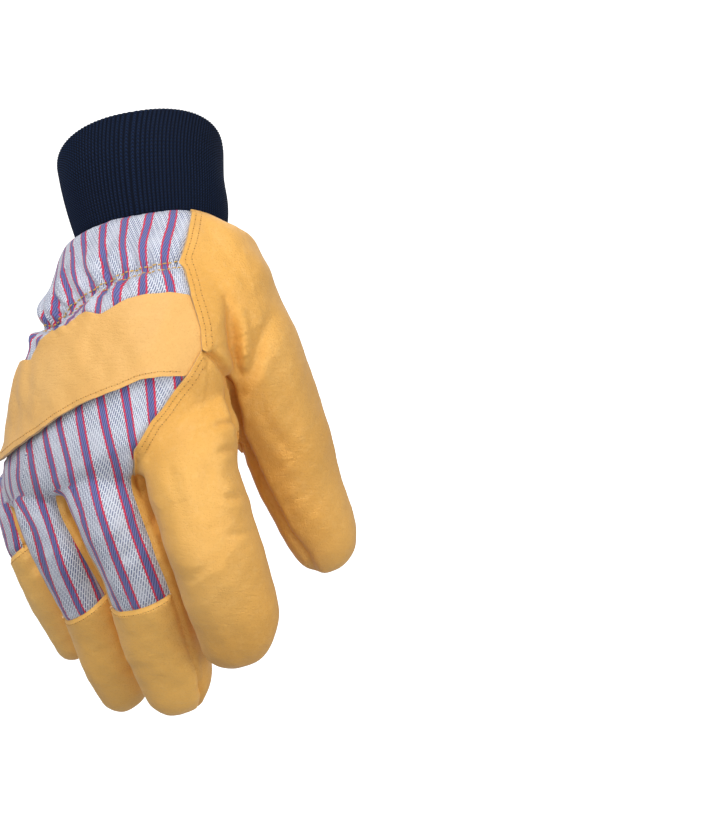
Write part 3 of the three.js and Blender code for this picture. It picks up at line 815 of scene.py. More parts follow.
def stripe_number(across, down):
    """Which stripe lies at a place of the front view."""
    table = np.array(STRIPES, float)
    numbers = np.arange(table.shape[1] - 1)
    stripe = np.zeros(len(across))
    levels = np.arange(30, 480, 2.0)
    blur = np.exp(-(np.arange(-9, 10) / 4.5) ** 2)
    columns = []
    for k in numbers:
        line = np.interp(levels, table[:, 0], table[:, k + 1])
        line = np.convolve(np.pad(line, 9, mode="edge"), blur / blur.sum(), mode="valid")
        columns.append(np.interp(down, levels, line))
    for k in numbers[:-1]:
        inside = (across <= columns[k]) & (across > columns[k + 1])
        share = (columns[k] - across) / np.maximum(columns[k] - columns[k + 1], 1)
        stripe = np.where(inside, k + share, stripe)
    stripe = np.where(across > columns[0], (columns[0] - across) / PITCH, stripe)
    past = columns[-1] - across
    return np.where(past >= 0, numbers[-1] + past / LAST_PITCH, stripe)


normals = normals_of(verts, faces)
place = {name: TubePlace(name, verts) for name in ("hand", *FINGERS)}
across, down = seen(verts)
flat_x, past = flat_place(verts, normals, place, across, down)
push, elastic = sculpt(verts, normals, across, down, flat_x - past)
fields = regions_of(verts, place, across, down)
stripe = wrapped(stripe_number(flat_x, down) + past / SIDE_PITCH, place)
strap = np.minimum(
    polygon_depth(across, down, STRAP_EDGE + STRAP_FOOT + STRAP_END) * CELL,
    within(place["hand"], 0, 196),
)
# The order in which the pieces are cut
ORDER = tuple(fields)
verts = verts + normals * push[:, None]
verts = smoothed(verts, edges, 1, strength=0.4)
normals = normals_of(verts, faces)
columns = [verts, normals, stripe[:, None], down[:, None], elastic[:, None] * CELL, strap[:, None]]
columns += [place["hand"].s[:, None]] + [fields[name][:, None] for name in ORDER]
data = np.hstack(columns)
# Columns of the table that goes with the vertices, after their places and normals
STRIPE, DOWN, ELASTIC_GAP, STRAP_DEPTH, HAND_RUN, FIRST = 6, 7, 8, 9, 10, 11


def depth_in(data, name):
    """Depth in metres inside a piece, and which region lies past its nearest edge."""
    n = ORDER.index(name) if name in ORDER else len(ORDER)
    rivals = -data[:, FIRST : FIRST + n]
    depth = rivals.min(1) if n else np.full(len(data), np.inf)
    beyond = rivals.argmin(1) if n else np.zeros(len(data), int)
    if n < len(ORDER):
        mine = data[:, FIRST + n]
        beyond = np.where(mine < depth, len(ORDER), beyond)
        depth = np.minimum(mine, depth)
    return depth, beyond


def boundary_of(faces):
    """The edges that only one face has."""
    directed = np.vstack([faces[:, [0, 1]], faces[:, [1, 2]], faces[:, [2, 0]]])
    key = np.sort(directed, axis=1)
    _, inverse, counts = np.unique(key, axis=0, return_inverse=True, return_counts=True)
    return directed[counts[inverse.ravel()] == 1]


def with_thickness(outer, normals, faces, thickness):
    """A closed wall: the outer skin, its inner side and a rim. The last value marks rim and inside."""
    inner = outer - normals * thickness
    rim = boundary_of(faces)
    count = len(outer)
    used, back = np.unique(rim, return_inverse=True)
    back = back.reshape(rim.shape)
    top, low = 2 * count, 2 * count + len(used)
    middle = low + len(used)
    bulge = (outer[used] + inner[used]) / 2
    verts = np.vstack([outer, inner, outer[used], inner[used], bulge])
    a, b = back[:, 0], back[:, 1]
    quads = []
    for upper, lower in ((top, middle), (middle, low)):
        quads.append(np.stack([b + upper, a + upper, a + lower], 1))
        quads.append(np.stack([b + upper, a + lower, b + lower], 1))
    shell = np.vstack([faces, faces[:, ::-1] + count, *quads])
    raw = np.r_[np.zeros(count), np.ones(count), np.full(3 * len(used), 0.5)]
    source = np.r_[np.arange(count), np.arange(count), used, used, used]
    return verts, shell, raw, source


# How far a piece's skin lies over the common form, in mm
LIFT = {"hand_back": -0.2}
LEATHER_LIFT = 0.45
pieces = {}
skins = {}
data, faces, _ = clip(data, faces, data[:, HAND_RUN] - 2 * MM)
data, faces = tidy(data, faces)
whole = data, faces
rest = faces
for n, name in enumerate(ORDER):
    data, inside, rest = clip(data, rest, data[:, FIRST + n])
    inside, crumbs = largest(data, inside)
    rest = np.vstack([rest, crumbs])
    skins[name] = tidy(data, inside)
skins["palm"] = tidy(data, rest)
strap_data, inside, _ = clip(whole[0], whole[1], whole[0][:, STRAP_DEPTH])
strap_faces, _ = largest(strap_data, inside, 400)
skins["knuckle_strap"] = tidy(strap_data, strap_faces)


def seam_roll(depth):
    """How far a sewn edge turns in."""
    return 0.95 * MM * bell(depth, 1.5 * MM) - 0.12 * MM * bell(depth - 3 * MM, 2 * MM)


def shaped(name, rows):
    """Outer skin of a piece with its own lift, laps and turned-in seams."""
    mouth = rows[:, HAND_RUN] - 2 * MM
    out = np.full(len(rows), LIFT.get(name, LEATHER_LIFT) * MM)
    out -= 2.2 * MM * bell(mouth, 2.2 * MM)
    covered = step(rows[:, STRAP_DEPTH], -0.5 * MM, 1.5 * MM)
    near_end = step(rows[:, 0], 12 * MM, 24 * MM) * bell(rows[:, STRAP_DEPTH], 6 * MM)
    if name == "knuckle_strap":
        edge = rows[:, STRAP_DEPTH]
        right = step(rows[:, 0], 14 * MM, 25 * MM)
        out += (1.0 - 0.95 * right) * MM
        foot = path_place(*seen(rows[:, :3]), STRAP_FOOT)[0] * CELL
        out += 1.3 * MM * bell(foot, 3.5 * MM) * (1 - right)
        out += 0.22 * MM * ripple(rows[:, :3], 14 * MM)
        return out, np.ones(len(rows))
    depth, beyond = depth_in(rows, name)
    canvas = ORDER.index("hand_back")
    if name == "hand_back":
        out -= 1.0 * MM * covered
        out -= 0.5 * MM * bell(depth, 1.6 * MM)
        return out, np.zeros(len(rows))
    lapped = np.full(len(rows), False)
    if name == "palm":
        lapped = beyond == canvas
    if name == "thumb_back":
        lapped = np.abs(rows[:, FIRST + canvas] + depth) < 2.5 * MM
        lapped &= rows[:, 1] < 0
    turn = seam_roll(depth)
    if name in ("thumb_back", "thumb_front"):
        low = step(-rows[:, 2], 150 * MM, 178 * MM)
        turn = turn * (1.5 - 1.1 * low)
        seam = np.abs(rows[:, FIRST + ORDER.index("thumb_back")])
        shade = (1 - low) * step(-rows[:, 2], 116 * MM, 130 * MM)
        sink = -0.35 * bell(seam - 2.4 * MM, 1.6 * MM)
        if name == "thumb_front":
            sink = 1.3 * bell(seam, 3 * MM)
        turn = turn + shade * sink * MM
    out += np.where(lapped, 0.25 * MM + 0.9 * MM * near_end, -turn)
    return out, lapped.astype(float)


def piece_mesh(name, rows, faces):
    """A piece's closed wall, and its outer skin with normals."""
    normals = unit(rows[:, 3:6])
    lift, cut_edge = shaped(name, rows)
    outer = rows[:, :3] + normals * lift[:, None]
    verts, shell, raw, source = with_thickness(outer, normals, faces, WALL)
    mesh = new_mesh(name, verts, shell)
    raw = np.where(raw == 0.5, cut_edge[source], raw)
    add_vector(mesh, "cloth", rows[source, STRIPE], rows[source, DOWN], raw)
    return mesh, outer, normals


def add_vector(mesh, name, x, y, z):
    layer = mesh.attributes.new(name, "FLOAT_VECTOR", "POINT")
    layer.data.foreach_set("vector", np.stack([x, y, z], 1).astype(np.float32).ravel())


def add_piece(name, mesh):
    pieces[name] = new_object("visual_" + name, mesh)
    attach(pieces[name], "root")
    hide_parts(name)


surfaces = {}
for name, (rows, part) in skins.items():
    mesh, outer, normals = piece_mesh(name, rows, part)
    surfaces[name] = rows, part, outer, normals
    add_piece(name, mesh)


def iso_lines(points, faces, values, level):
    """Ordered runs of points where the values cross a level: face edges and shares along them."""
    f = values[faces] - level
    above = f > 0
    crossing = faces[(above.sum(1) == 1) | (above.sum(1) == 2)]
    above = values[crossing] > level
    links = {}
    for tri, up in zip(crossing.tolist(), above.tolist()):
        keys = []
        for k in range(3):
            a, b = tri[k], tri[(k + 1) % 3]
            if up[k] != up[(k + 1) % 3]:
                keys.append((min(a, b), max(a, b)))
        links.setdefault(keys[0], []).append(keys[1])
        links.setdefault(keys[1], []).append(keys[0])
    runs, done = [], set()
    starts = [k for k, v in links.items() if len(v) == 1] + list(links)
    for start in starts:
        if start in done:
            continue
        run, here = [start], start
        done.add(start)
        while True:
            ahead = [k for k in links[here] if k not in done]
            if not ahead:
                break
            here = ahead[0]
            done.add(here)
            run.append(here)
        if len(run) > 4:
            pair = np.array(run)
            a, b = values[pair[:, 0]], values[pair[:, 1]]
            share = ((level - a) / (b - a))[:, None]
            runs.append(points[pair[:, 0]] * (1 - share) + points[pair[:, 1]] * share)
    return runs


def resampled(line, pitch):
    """Even places along a line of position and normal rows."""
    lengths = np.linalg.norm(np.diff(line[:, :3], axis=0), axis=1)
    run = np.r_[0, np.cumsum(lengths)]
    if run[-1] < 2 * pitch:
        return None
    stops = np.arange(0.5 * pitch, run[-1], pitch)
    return np.stack([np.interp(stops, run, line[:, k]) for k in range(line.shape[1])], 1)


def thread(places, length, radius, sink):
    """Small stitches of thread lying along a line, their ends drawn down into the surface."""
    if places is None or len(places) < 3:
        return None
    along = unit(np.gradient(places[:, :3], axis=0))
    up = unit(places[:, 3:6])
    side = unit(np.cross(along, up))
    shares = np.linspace(-1, 1, 7)
    ring = turns(6)
    rise = radius * 0.55 - sink - (radius + sink * 0.3) * abs(shares) ** 3
    swell = np.sqrt(np.clip(1 - abs(shares) ** 6, 0.02, 1))
    centre = (
        places[:, None, :3]
        + along[:, None] * (shares * length / 2)[None, :, None]
        + up[:, None] * rise[None, :, None]
    )
    spoke = side[:, None, None] * np.cos(ring)[None, None, :, None]
    spoke = spoke + up[:, None, None] * np.sin(ring)[None, None, :, None]
    verts = centre[:, :, None] + spoke * (radius * swell)[None, :, None, None]
    count, rows, around = verts.shape[:3]
    starts = (np.arange(count) * rows * around)[:, None, None]
    faces = (band(rows, around)[None] + starts).reshape(-1, 3)
    return verts.reshape(-1, 3), faces


def holes(places, length, radius):
    """Needle holes between stitches, as shallow dark discs on the surface: painted shade for the
    hollow of each hole.
    """
    middle = (places[1:] + places[:-1]) / 2
    along = unit(places[1:, :3] - places[:-1, :3])
    up = unit(middle[:, 3:6])
    side = unit(np.cross(along, up))
    ring = turns(8)
    spoke = along[:, None] * (1.35 * np.cos(ring))[None, :, None]
    spoke = spoke + side[:, None] * np.sin(ring)[None, :, None]
    rim = middle[:, None, :3] + spoke * radius + up[:, None] * 0.10 * MM
    tip = middle[:, :3] + up * 0.13 * MM
    verts = np.concatenate([rim, tip[:, None]], 1)
    k = np.arange(8)
    fan = np.stack([k, (k + 1) % 8, np.full(8, 8)], 1)
    faces = (fan[None] + (np.arange(len(middle)) * 9)[:, None, None]).reshape(-1, 3)
    return verts.reshape(-1, 3), faces


def stitch_rows(name, values, levels, keep, pitch=2.6 * MM, least=8 * MM):
    """Places of the stitches of some rows on a piece's outer skin."""
    rows, part, outer, normals = surfaces[name]
    points = np.hstack([outer, normals, keep[:, None]])
    found = []
    for level in levels:
        for line in iso_lines(points, part, values, level):
            kept = line[:, 6] > 0
            cuts = np.flatnonzero(np.diff(kept.astype(int))) + 1
            for run in np.split(line, cuts):
                if run[0, 6] > 0 and len(run) > 5:
                    smooth = run.copy()
                    for _ in range(4):
                        ends = smooth[:-2, :3] + smooth[2:, :3]
                        smooth[1:-1, :3] = (ends + 2 * smooth[1:-1, :3]) / 4
                    places = resampled(smooth, pitch)
                    if places is not None and len(places) * pitch > least:
                        found.append(places)
    return found


def sewn(title, found, length, radius, sink, hole):
    """One mesh of all the stitches of a thread, and one of dark discs at its needle holes, which are
    painted shade.
    """
    parts = [part for part in (thread(places, length, radius, sink) for places in found) if part]
    obj = new_object(title, new_mesh(title, *joined(parts)))
    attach(obj, "root")
    stitched.append(obj)
    if hole:
        pits = [holes(places, length, hole) for places in found if len(places) > 3]
        dark = new_object(title + "_hole_shades", new_mesh(title + "_hole_shades", *joined(pits)))
        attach(dark, "root")
        pierced.append(dark)


# Level in cells down at which the leather's stitch rows end
STITCH_END = 294
stitched, pierced = [], []
rows, _, outer, normals = surfaces["hand_back"]
elastic_gap = rows[:, ELASTIC_GAP]
keep = np.minimum(-normals[:, 1] + 0.35, 0.05 - abs(elastic_gap))
keep = np.minimum(-rows[:, STRAP_DEPTH] - 1 * MM, keep)
elastic_rows = stitch_rows("hand_back", elastic_gap, (-1.2 * MM, 1.2 * MM), keep, pitch=2.3 * MM)
sewn("elastic_stitches", elastic_rows, 1.9 * MM, 0.30 * MM, 0.02 * MM, 0)
yellow = list(stitched)
leather_rows = []
for name, side in (("palm", -1), ("thumb_back", 1)):
    rows, _, outer, normals = surfaces[name]
    edge = -rows[:, FIRST + ORDER.index("hand_back")]
    keep = np.minimum(-normals[:, 1] - 0.1, 0.012 - abs(edge - 3 * MM))
    keep = np.minimum(keep, (STITCH_END - rows[:, DOWN]) * CELL)
    inner = side * rows[:, FIRST + ORDER.index("thumb_back")]
    leather_rows += stitch_rows(name, edge, (1.9 * MM, 4.4 * MM), np.minimum(keep, inner - 1.2 * MM))
rows, _, outer, normals = surfaces["knuckle_strap"]
away = abs(path_place(*seen(rows[:, :3]), STRAP_FOOT)[0]) * CELL
keep = np.minimum(rows[:, STRAP_DEPTH] - 1.4 * MM, 0.45 - normals[:, 1])
leather_rows += stitch_rows("knuckle_strap", away, (2.0 * MM,), keep)
for name in ("middle", "ring", "little"):
    outer = surfaces[name + "_tip"][2]
    tube = TubePlace(name, outer)
    edge = tube.s - CAP[name] * length_of(name)
    leather_rows += stitch_rows(name + "_tip", edge, (2.0 * MM,), within(tube, -10, 190) - 1 * MM)
sewn("leather_stitches", leather_rows, 1.6 * MM, 0.24 * MM, 0.12 * MM, 0.26 * MM)


# Ribbed cuff
RIBS = 126
RIB_DEPTH = 0.34 * MM
CUFF_WALL = 2.4 * MM


def cuff_rings():
    """Rings down the outside, over the soft rim and up the inside, with a knit place for each."""
    line = LINES["cuff"]
    long = length_of("cuff")
    steps = 70
    around = turns(RIBS * 5)
    frames = Frames(line, np.linspace(0.9 * MM, long, steps))
    rib = np.cos(around * RIBS)[None, :]
    ribbed = RIB_DEPTH * (np.clip(rib, -0.75, 1) - 0.6)
    outside = frames.skin(around, ribbed)[::-1]
    rim = []
    for angle in np.linspace(0, math.pi, 7)[1:-1]:
        ring = Frames(line, np.array([0.9 * MM - math.sin(angle) * 0.9 * MM]))
        inset = -CUFF_WALL * (1 - math.cos(angle)) / 2
        rim.append(ring.skin(around, ribbed * (1 - angle / math.pi) + inset)[0])
    depths = np.linspace(0.9 * MM, 0.98 * long, steps // 2)
    inside = Frames(line, depths).skin(around, -CUFF_WALL - 0.15 * MM * rib)
    return np.concatenate([outside, np.array(rim), inside]), around


def closed_loft(rings):
    """A band of rings whose last one joins the first."""
    count, around = rings.shape[:2]
    r, i = np.meshgrid(np.arange(count), np.arange(around), indexing="ij")
    a = (r * around + i).ravel()
    b = (r * around + (i + 1) % around).ravel()
    c = (((r + 1) % count) * around + (i + 1) % around).ravel()
    d = (((r + 1) % count) * around + i).ravel()
    return rings.reshape(-1, 3), np.stack([a, b, c, d], 1)


rings, around = cuff_rings()
verts, quads = closed_loft(rings)
mesh = new_mesh("knit_cuff", verts, quads)
run = np.r_[0, np.cumsum(np.linalg.norm(np.diff(rings.mean(1), axis=0), axis=1))]
ribs = np.tile(around / (2 * math.pi) * RIBS, len(rings))
add_vector(mesh, "cloth", ribs, np.repeat(run / MM, len(around)), np.zeros(len(verts)))
add_piece("knit_cuff", mesh)


# Pull loop: a folded leather strip on the palm side of the cuff, as shares of the cuff's length
LOOP_ANGLE = math.radians(236)
LOOP_TOP, LOOP_FOOT, LOOP_BAR, LOOP_FULLNESS = 0.02, 0.86, 0.45, 0.6
LOOP_WIDTH, LOOP_WALL, LOOP_EYE, LOOP_GAP = 15 * MM, 1.5 * MM, 8.5 * MM, 0.4 * MM
LOOP_ROWS = 60


def loop_line(shares, lifts, aside=0.0):
    """Places down the loop at some height over the cuff, with outward and sideways directions."""
    long = length_of("cuff")
    frames = Frames(LINES["cuff"], (LOOP_TOP + (LOOP_FOOT - LOOP_TOP) * shares) * long)
    here = frames.skin(np.array([LOOP_ANGLE]))[:, 0]
    out = unit(frames.skin(np.array([LOOP_ANGLE]), MM)[:, 0] - here)
    side = unit(frames.skin(np.array([LOOP_ANGLE + 0.02]))[:, 0] - here)
    lifts = np.broadcast_to(lifts, shares.shape)
    aside = np.broadcast_to(aside, shares.shape)
    return here + out * lifts[:, None] + side * aside[:, None], out, side


def loop_swell(shares):
    return LOOP_EYE * np.sin(math.pi * np.clip(shares / LOOP_BAR, 0, 1)) ** LOOP_FULLNESS


def loop_strip():
    """The strip from its foot up the outer layer, round the fold and down the inner layer."""
    up = np.linspace(1, 0.012, LOOP_ROWS)
    fold = np.linspace(0, math.pi, 7)[1:-1]
    shares = np.r_[up, 0.012 * (1 - 2 * np.sin(fold)), up[::-1]]
    outer = LOOP_GAP + 1.5 * LOOP_WALL + loop_swell(up)
    inner = LOOP_GAP + 0.5 * LOOP_WALL
    turned = (outer[-1] + inner) / 2 + (outer[-1] - inner) / 2 * np.cos(fold)
    middle, _, side = loop_line(shares, np.r_[outer, turned, np.full(LOOP_ROWS, inner)])
    along = unit(np.gradient(middle, axis=0))
    over = unit(np.cross(along, side))
    ring = turns(28)
    wide = LOOP_WIDTH / 2 * np.sign(np.cos(ring)) * abs(np.cos(ring)) ** 0.12
    thick = 0.46 * LOOP_WALL * np.sign(np.sin(ring)) * abs(np.sin(ring)) ** 0.5
    rings = (
        middle[:, None]
        + side[:, None] * wide[None, :, None]
        + over[:, None] * thick[None, :, None]
    )
    edge = np.r_[np.tile(step(abs(np.cos(ring)), 0.86, 0.97), len(rings)), 1, 1]
    return *loft(rings), edge


verts, faces, edge = loop_strip()
mesh = new_mesh("pull_loop", verts, faces)
add_vector(mesh, "cloth", edge * 0, edge * 0, edge)
add_piece("pull_loop", mesh)
loop_rows, bar_rows = [], []
flat = np.linspace(0.52, 0.97, 40)
outer_face = LOOP_GAP + 2 * LOOP_WALL
for aside in (-0.4, 0.4):
    point, out, _ = loop_line(flat, outer_face, aside * LOOP_WIDTH)
    loop_rows.append(resampled(np.hstack([point, out, flat[:, None]]), 2.6 * MM))
for shift in (-0.02, 0.01, 0.04):
    across_strip = np.linspace(-0.44, 0.44, 12)
    point, out, _ = loop_line(
        LOOP_BAR + 0.05 + shift + 0.08 * across_strip, outer_face, across_strip * LOOP_WIDTH
    )
    bar_rows.append(resampled(np.hstack([point, out, across_strip[:, None]]), 1.3 * MM))
sewn("loop_stitches", loop_rows, 1.7 * MM, 0.26 * MM, 0.06 * MM, 0.26 * MM)
sewn("bar_stitches", bar_rows, 1.25 * MM, 0.34 * MM, 0.02 * MM, 0)
yellow.append(stitched[-1])


class Value:
    """A node's output that formulas can be written with."""

    def __init__(self, nodes, socket):
        self.nodes, self.socket = nodes, socket

    def __add__(self, other):
        return self.nodes.math("ADD", self, other)

    def __sub__(self, other):
        return self.nodes.math("SUBTRACT", self, other)

    def __rsub__(self, other):
        return self.nodes.math("SUBTRACT", other, self)

    def __mul__(self, other):
        return self.nodes.math("MULTIPLY", self, other)

    def __pow__(self, other):
        return self.nodes.math("POWER", self, other)

    def __abs__(self):
        return self.nodes.math("ABSOLUTE", self)

    def fract(self):
        return self.nodes.math("FRACT", self)

    def floor(self):
        return self.nodes.math("FLOOR", self)

    def between(self, low, high):
        """A soft step from zero at one value to one at the other."""
        inputs = {"Value": self, "From Min": low, "From Max": high}
        settings = {"interpolation_type": "SMOOTHSTEP"}
        return self.nodes.node("ShaderNodeMapRange", "Result", inputs, settings)


class Nodes:
    """Short writing for a material's nodes."""

    def __init__(self, name):
        self.material = bpy.data.materials.new(name)
        self.material.use_nodes = True
        self.tree = self.material.node_tree
        self.shader = self.tree.nodes["Principled BSDF"]
        self.place = self.node("ShaderNodeTexCoord", "Object", {})

    def put(self, socket, value):
        if isinstance(value, Value):
            self.tree.links.new(value.socket, socket)
        else:
            socket.default_value = value

    def node(self, kind, output, inputs, settings=None):
        """An output of a new node, whose inputs go by their name or place."""
        node = self.tree.nodes.new(kind)
        for key, value in (settings or {}).items():
            setattr(node, key, value)
        for key, value in inputs.items():
            self.put(node.inputs[key], value)
        return Value(self, node.outputs[output])

    def shade(self, **inputs):
        """The material, with these inputs of its shader."""
        for key, value in inputs.items():
            self.put(self.shader.inputs[key.replace("_", " ")], value)
        return self.material

    def math(self, operation, a, b=0.0):
        return self.node("ShaderNodeMath", 0, {0: a, 1: b}, {"operation": operation})

    def mix(self, share, a, b):
        return self.node("ShaderNodeMix", 2, {0: share, 6: a, 7: b}, {"data_type": "RGBA"})

    def noise(self, scale, detail, rough, vector=None):
        inputs = {"Scale": scale, "Detail": detail, "Roughness": rough}
        return self.node("ShaderNodeTexNoise", 0, {**inputs, "Vector": vector or self.place})

    def cells(self, scale):
        inputs = {"Scale": scale, "Vector": self.place}
        return self.node("ShaderNodeTexVoronoi", "Distance", inputs)

    def attribute(self, name):
        """The three parts of a vector that the mesh carries."""
        vector = self.node("ShaderNodeAttribute", "Vector", {}, {"attribute_name": name})
        split = self.tree.nodes.new("ShaderNodeSeparateXYZ")
        self.put(split.inputs[0], vector)
        return [Value(self, socket) for socket in split.outputs]

    def bump(self, height, strength, distance, under=None):
        inputs = {"Strength": strength, "Distance": distance, "Height": height}
        if under is not None:
            inputs["Normal"] = under
        return self.node("ShaderNodeBump", 0, inputs)


def rgb(r, g, b):
    """A colour given in the usual 0 to 255 steps, as light values."""
    values = [((c / 255 + 0.055) / 1.055) ** 2.4 if c > 10 else c / 255 / 12.92 for c in (r, g, b)]
    return (*values, 1)


def leather_material(name, deep, pale):
    n = Nodes(name)
    raw = n.attribute("cloth")[2]
    fine = n.noise(420, 3, 0.6)
    color = n.mix(n.noise(11, 2, 0.5).between(0.36, 0.66), deep, pale)
    color = n.mix(n.noise(28, 3, 0.55).between(0.35, 0.7) * 0.6, color, deep)
    pore = n.cells(1150).between(0.05, 0.55)
    color = n.mix((1 - pore) * 0.16, color, rgb(190, 122, 44))
    color = n.mix(fine.between(0.45, 0.75) * 0.18, color, rgb(244, 202, 130))
    edge = n.mix(n.noise(700, 2, 0.5), rgb(226, 190, 138), rgb(196, 152, 96))
    color = n.mix(raw.between(0.1, 0.5), color, edge)
    inputs = {"Vector": n.place, "Scale": (0.35, 0.35, 1.5), "Rotation": (0, 0.25, 0)}
    stretch = n.node("ShaderNodeMapping", 0, inputs)
    lines = 1 - abs(n.noise(230, 4, 0.6, stretch) * 2 - 1)
    soft = n.bump(n.noise(75, 3, 0.55), 0.55, 0.9 * MM)
    lined = n.bump(lines**6, 0.26, -0.4 * MM, soft)
    grained = n.bump(pore, 0.5, 0.16 * MM, lined)
    return n.shade(
        Base_Color=color, Roughness=fine * 0.16 + 0.46, Specular_IOR_Level=0.42,
        Sheen_Weight=0.12, Sheen_Roughness=0.5, Normal=n.bump(fine, 0.30, 0.12 * MM, grained),
    )


def canvas_material():
    n = Nodes("striped_canvas")
    stripe, down, raw = n.attribute("cloth")
    gap = abs((stripe + 0.5).fract() - 0.5) * PITCH
    teeth = abs((down * 0.30).fract() - 0.5)
    gap = gap + (teeth * 1.3 - 0.3)
    wobble = (n.noise(260, 2, 0.5) - 0.5) * 1.2
    twill = stripe * PITCH * 0.47 + down * -0.20 + wobble * 0.25
    ridge = abs(twill.fract() - 0.5)
    dash = (down * 0.17 + twill.floor() * 0.37).fract()
    dashed = ridge.between(0.30, 0.12) * dash.between(0.12, 0.22)
    patchy = n.noise(95, 3, 0.6).between(0.30, 0.62)
    pale = n.mix(n.noise(500, 2, 0.5), rgb(222, 224, 232), rgb(206, 210, 224))
    ground = n.mix(dashed * (patchy * 0.5 + 0.5), pale, rgb(72, 88, 132))
    blue = n.mix(ridge.between(0.28, 0.1), rgb(112, 118, 172), rgb(74, 80, 132))
    red = n.mix(ridge.between(0.3, 0.1), rgb(226, 62, 84), rgb(170, 44, 78))
    color = n.mix(gap.between(4.6, 4.2), ground, red)
    color = n.mix(gap.between(2.9, 2.5), color, blue)
    color = n.mix(raw.between(0.1, 0.5), color, rgb(205, 206, 214))
    fuzz = n.bump(n.noise(900, 3, 0.7), 0.35, 0.2 * MM)
    return n.shade(
        Base_Color=color, Roughness=0.92, Specular_IOR_Level=0.15, Sheen_Weight=0.25,
        Normal=n.bump(ridge * 2, 0.5, 0.22 * MM, fuzz),
    )


def knit_material():
    n = Nodes("navy_knit")
    rib, run, _ = n.attribute("cloth")
    arm = abs((rib + 0.5).fract() - 0.5)
    chain = (run * 0.9 + arm * 1.6).fract()
    knit = abs(chain - 0.5).between(0.06, 0.34) * arm.between(0.42, 0.12)
    fuzz = n.noise(1400, 3, 0.6)
    # The stitch mask paints the yarn almost black between the stitches and down the rib valleys and
    # lighter on the crests: painted shade in the hollows and painted light on the crests.
    color = n.mix(knit, rgb(3, 8, 20), rgb(22, 39, 69))
    color = n.mix(fuzz * 0.35, color, rgb(12, 24, 48))
    return n.shade(
        Base_Color=color, Roughness=0.85, Specular_IOR_Level=0.12, Sheen_Weight=0.04,
        Normal=n.bump(knit, 0.8, 0.35 * MM, n.bump(fuzz, 0.3, 0.2 * MM)),
    )


def plain_thread(name, light, dark):
    n = Nodes(name)
    inputs = {"Scale": 900, "Distortion": 2, "Vector": n.place}
    twist = n.node("ShaderNodeTexWave", 1, inputs)
    return n.shade(
        Base_Color=n.mix(twist, light, dark), Roughness=0.6, Normal=n.bump(twist, 0.4, 0.1 * MM)
    )


leather = leather_material("tan_leather", rgb(226, 167, 76), rgb(235, 180, 94))
strap_leather = leather_material("strap_leather", rgb(229, 176, 99), rgb(237, 188, 116))
# The fingertip caps get a lighter copy of the leather: painted light, making up for light that the
# lamps don't bring to the tips.
painted_light_tip_leather = leather_material("painted_light_tip_leather", rgb(240, 183, 90), rgb(249, 197, 109))
canvas_cloth = canvas_material()
knit = knit_material()
yellow_thread = plain_thread("yellow_thread", rgb(236, 196, 96), rgb(196, 150, 56))
tan_thread = plain_thread("tan_thread", rgb(222, 166, 82), rgb(200, 144, 66))
# Needle holes: discs in a darker brown, painted shade for the hollows that the needle leaves.
painted_hole_shade = plain_thread("needle_hole_painted_shade", rgb(160, 106, 42), rgb(140, 90, 34))
KINDS = {
    "hand_back": (canvas_cloth, "canvas"),
    "knit_cuff": (knit, "knit"),
    "knuckle_strap": (strap_leather, "leather"),
    "middle_tip": (painted_light_tip_leather, "leather"),
    "ring_tip": (painted_light_tip_leather, "leather"),
    "little_tip": (painted_light_tip_leather, "leather"),
}
for name, obj in pieces.items():
    material, slot = KINDS.get(name, (leather, "leather"))
    obj.data.materials.append(material)
for obj in stitched:
    obj.data.materials.append(yellow_thread if obj in yellow else tan_thread)
for obj in pierced:
    obj.data.materials.append(painted_hole_shade)


def skin_area(name):
    """Area of a piece's outer skin in square metres."""
    _, part, outer, _ = surfaces[name]
    a, b, c = (outer[part[:, k]] for k in range(3))
    return float(np.linalg.norm(np.cross(b - a, c - a), axis=1).sum() / 2)


# What the cloth back and the strap were cut to, in square metres
skin_area("hand_back")
skin_area("knuckle_strap")


def add_camera():
    data = bpy.data.cameras.new("camera")
    data.sensor_width = SENSOR
    data.lens = SENSOR * VIEW_DISTANCE / (VIEW_HEIGHT * CELL)
    data.clip_end = 50
    camera = bpy.data.objects.new("camera", data)
    camera.location = (VIEW_ACROSS * CELL, -VIEW_DISTANCE, -VIEW_DOWN * CELL)
    camera.rotation_euler = (math.pi / 2, 0, 0)
    bpy.context.scene.collection.objects.link(camera)
    bpy.context.scene.camera = camera


# Area lights: name, place in metres, size in metres and power in watts
LIGHTS = (
    ("key", (-0.5, -1.1, 0.95), 0.7, 15.8),
    ("fill", (1.2, -1.1, -0.1), 0.9, 10),
    ("low", (-0.25, -1.3, -0.85), 0.8, 11.5),
    ("rim", (0.2, 1.0, 1.2), 1.0, 8),
)
AIM = (0.03, 0, -0.12)
# The backdrop in metres: floor level, height of its wall, where it starts and bends up, and its width
FLOOR, WALL_TOP, FLOOR_START, BEND, BEND_RADIUS, HALF_WIDTH = -0.42, 2.2, -2.4, 2.4, 0.8, 5.0


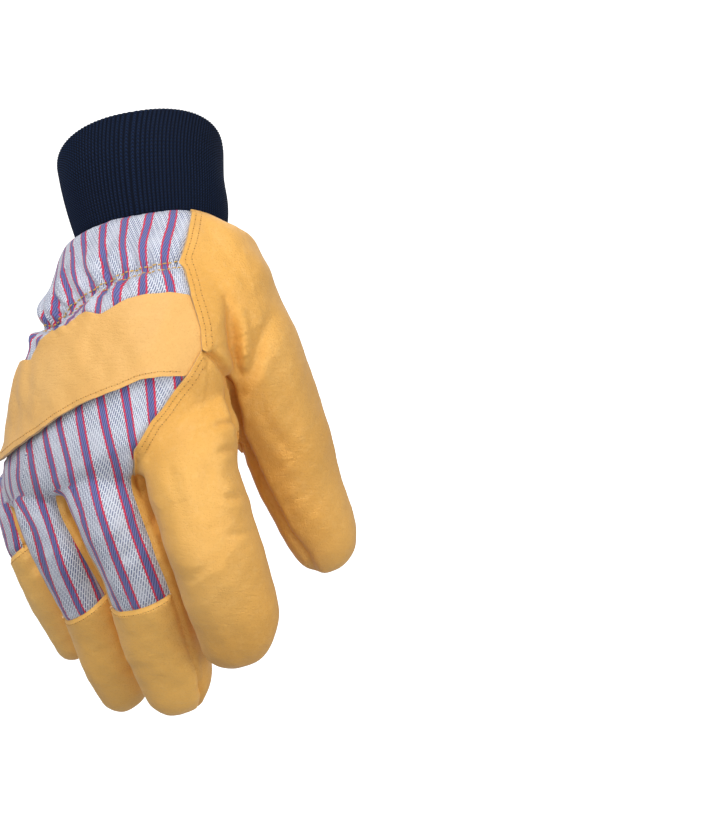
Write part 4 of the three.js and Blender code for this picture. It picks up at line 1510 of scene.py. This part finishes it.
def area_light(name, place, size, power):
    data = bpy.data.lights.new(name, "AREA")
    data.size = size
    data.energy = power
    light = bpy.data.objects.new(name, data)
    light.location = place
    light.rotation_euler = (Vector(AIM) - Vector(place)).to_track_quat("-Z", "Y").to_euler()
    bpy.context.scene.collection.objects.link(light)


def add_studio():
    bpy.context.scene.view_settings.view_transform = "Standard"
    world = bpy.data.worlds.new("studio")
    world.use_nodes = True
    tree = world.node_tree
    sky = tree.nodes["Background"]
    height = tree.nodes.new("ShaderNodeSeparateXYZ")
    shade = tree.nodes.new("ShaderNodeMapRange")
    shade.inputs["From Min"].default_value = -1
    shade.inputs["To Min"].default_value = 0.40
    shade.inputs["To Max"].default_value = 0.50
    tree.links.new(tree.nodes.new("ShaderNodeTexCoord").outputs["Generated"], height.inputs[0])
    tree.links.new(height.outputs["Z"], shade.inputs["Value"])
    tree.links.new(shade.outputs["Result"], sky.inputs["Strength"])
    sky.inputs["Color"].default_value = (1, 1, 1, 1)
    bpy.context.scene.world = world
    for light in LIGHTS:
        area_light(*light)


def add_backdrop():
    """A pale floor that bends up into a wall far behind."""
    curve = [(FLOOR_START, FLOOR), (BEND, FLOOR)]
    for angle in np.linspace(0.1, math.pi / 2, 12):
        rise = 1 - math.cos(angle)
        curve.append((BEND + BEND_RADIUS * math.sin(angle), FLOOR + BEND_RADIUS * rise))
    curve.append((BEND + BEND_RADIUS, WALL_TOP))
    sheet = np.array([[x, y, z] for y, z in curve for x in (-HALF_WIDTH, HALF_WIDTH)])
    count = len(curve)
    quads = np.array([[2 * i, 2 * i + 1, 2 * i + 3, 2 * i + 2] for i in range(count - 1)])
    floor = new_object("backdrop", new_mesh("backdrop", sheet, quads))
    material = bpy.data.materials.new("backdrop")
    material.use_nodes = True
    shader = material.node_tree.nodes["Principled BSDF"]
    shader.inputs["Base Color"].default_value = (0.9, 0.9, 0.9, 1)
    shader.inputs["Roughness"].default_value = 0.9
    shader.inputs["Emission Color"].default_value = (1, 1, 1, 1)
    shader.inputs["Emission Strength"].default_value = 0.9
    floor.data.materials.append(material)
    floor.visible_diffuse = False
    floor.visible_glossy = False


add_camera()
add_studio()
add_backdrop()
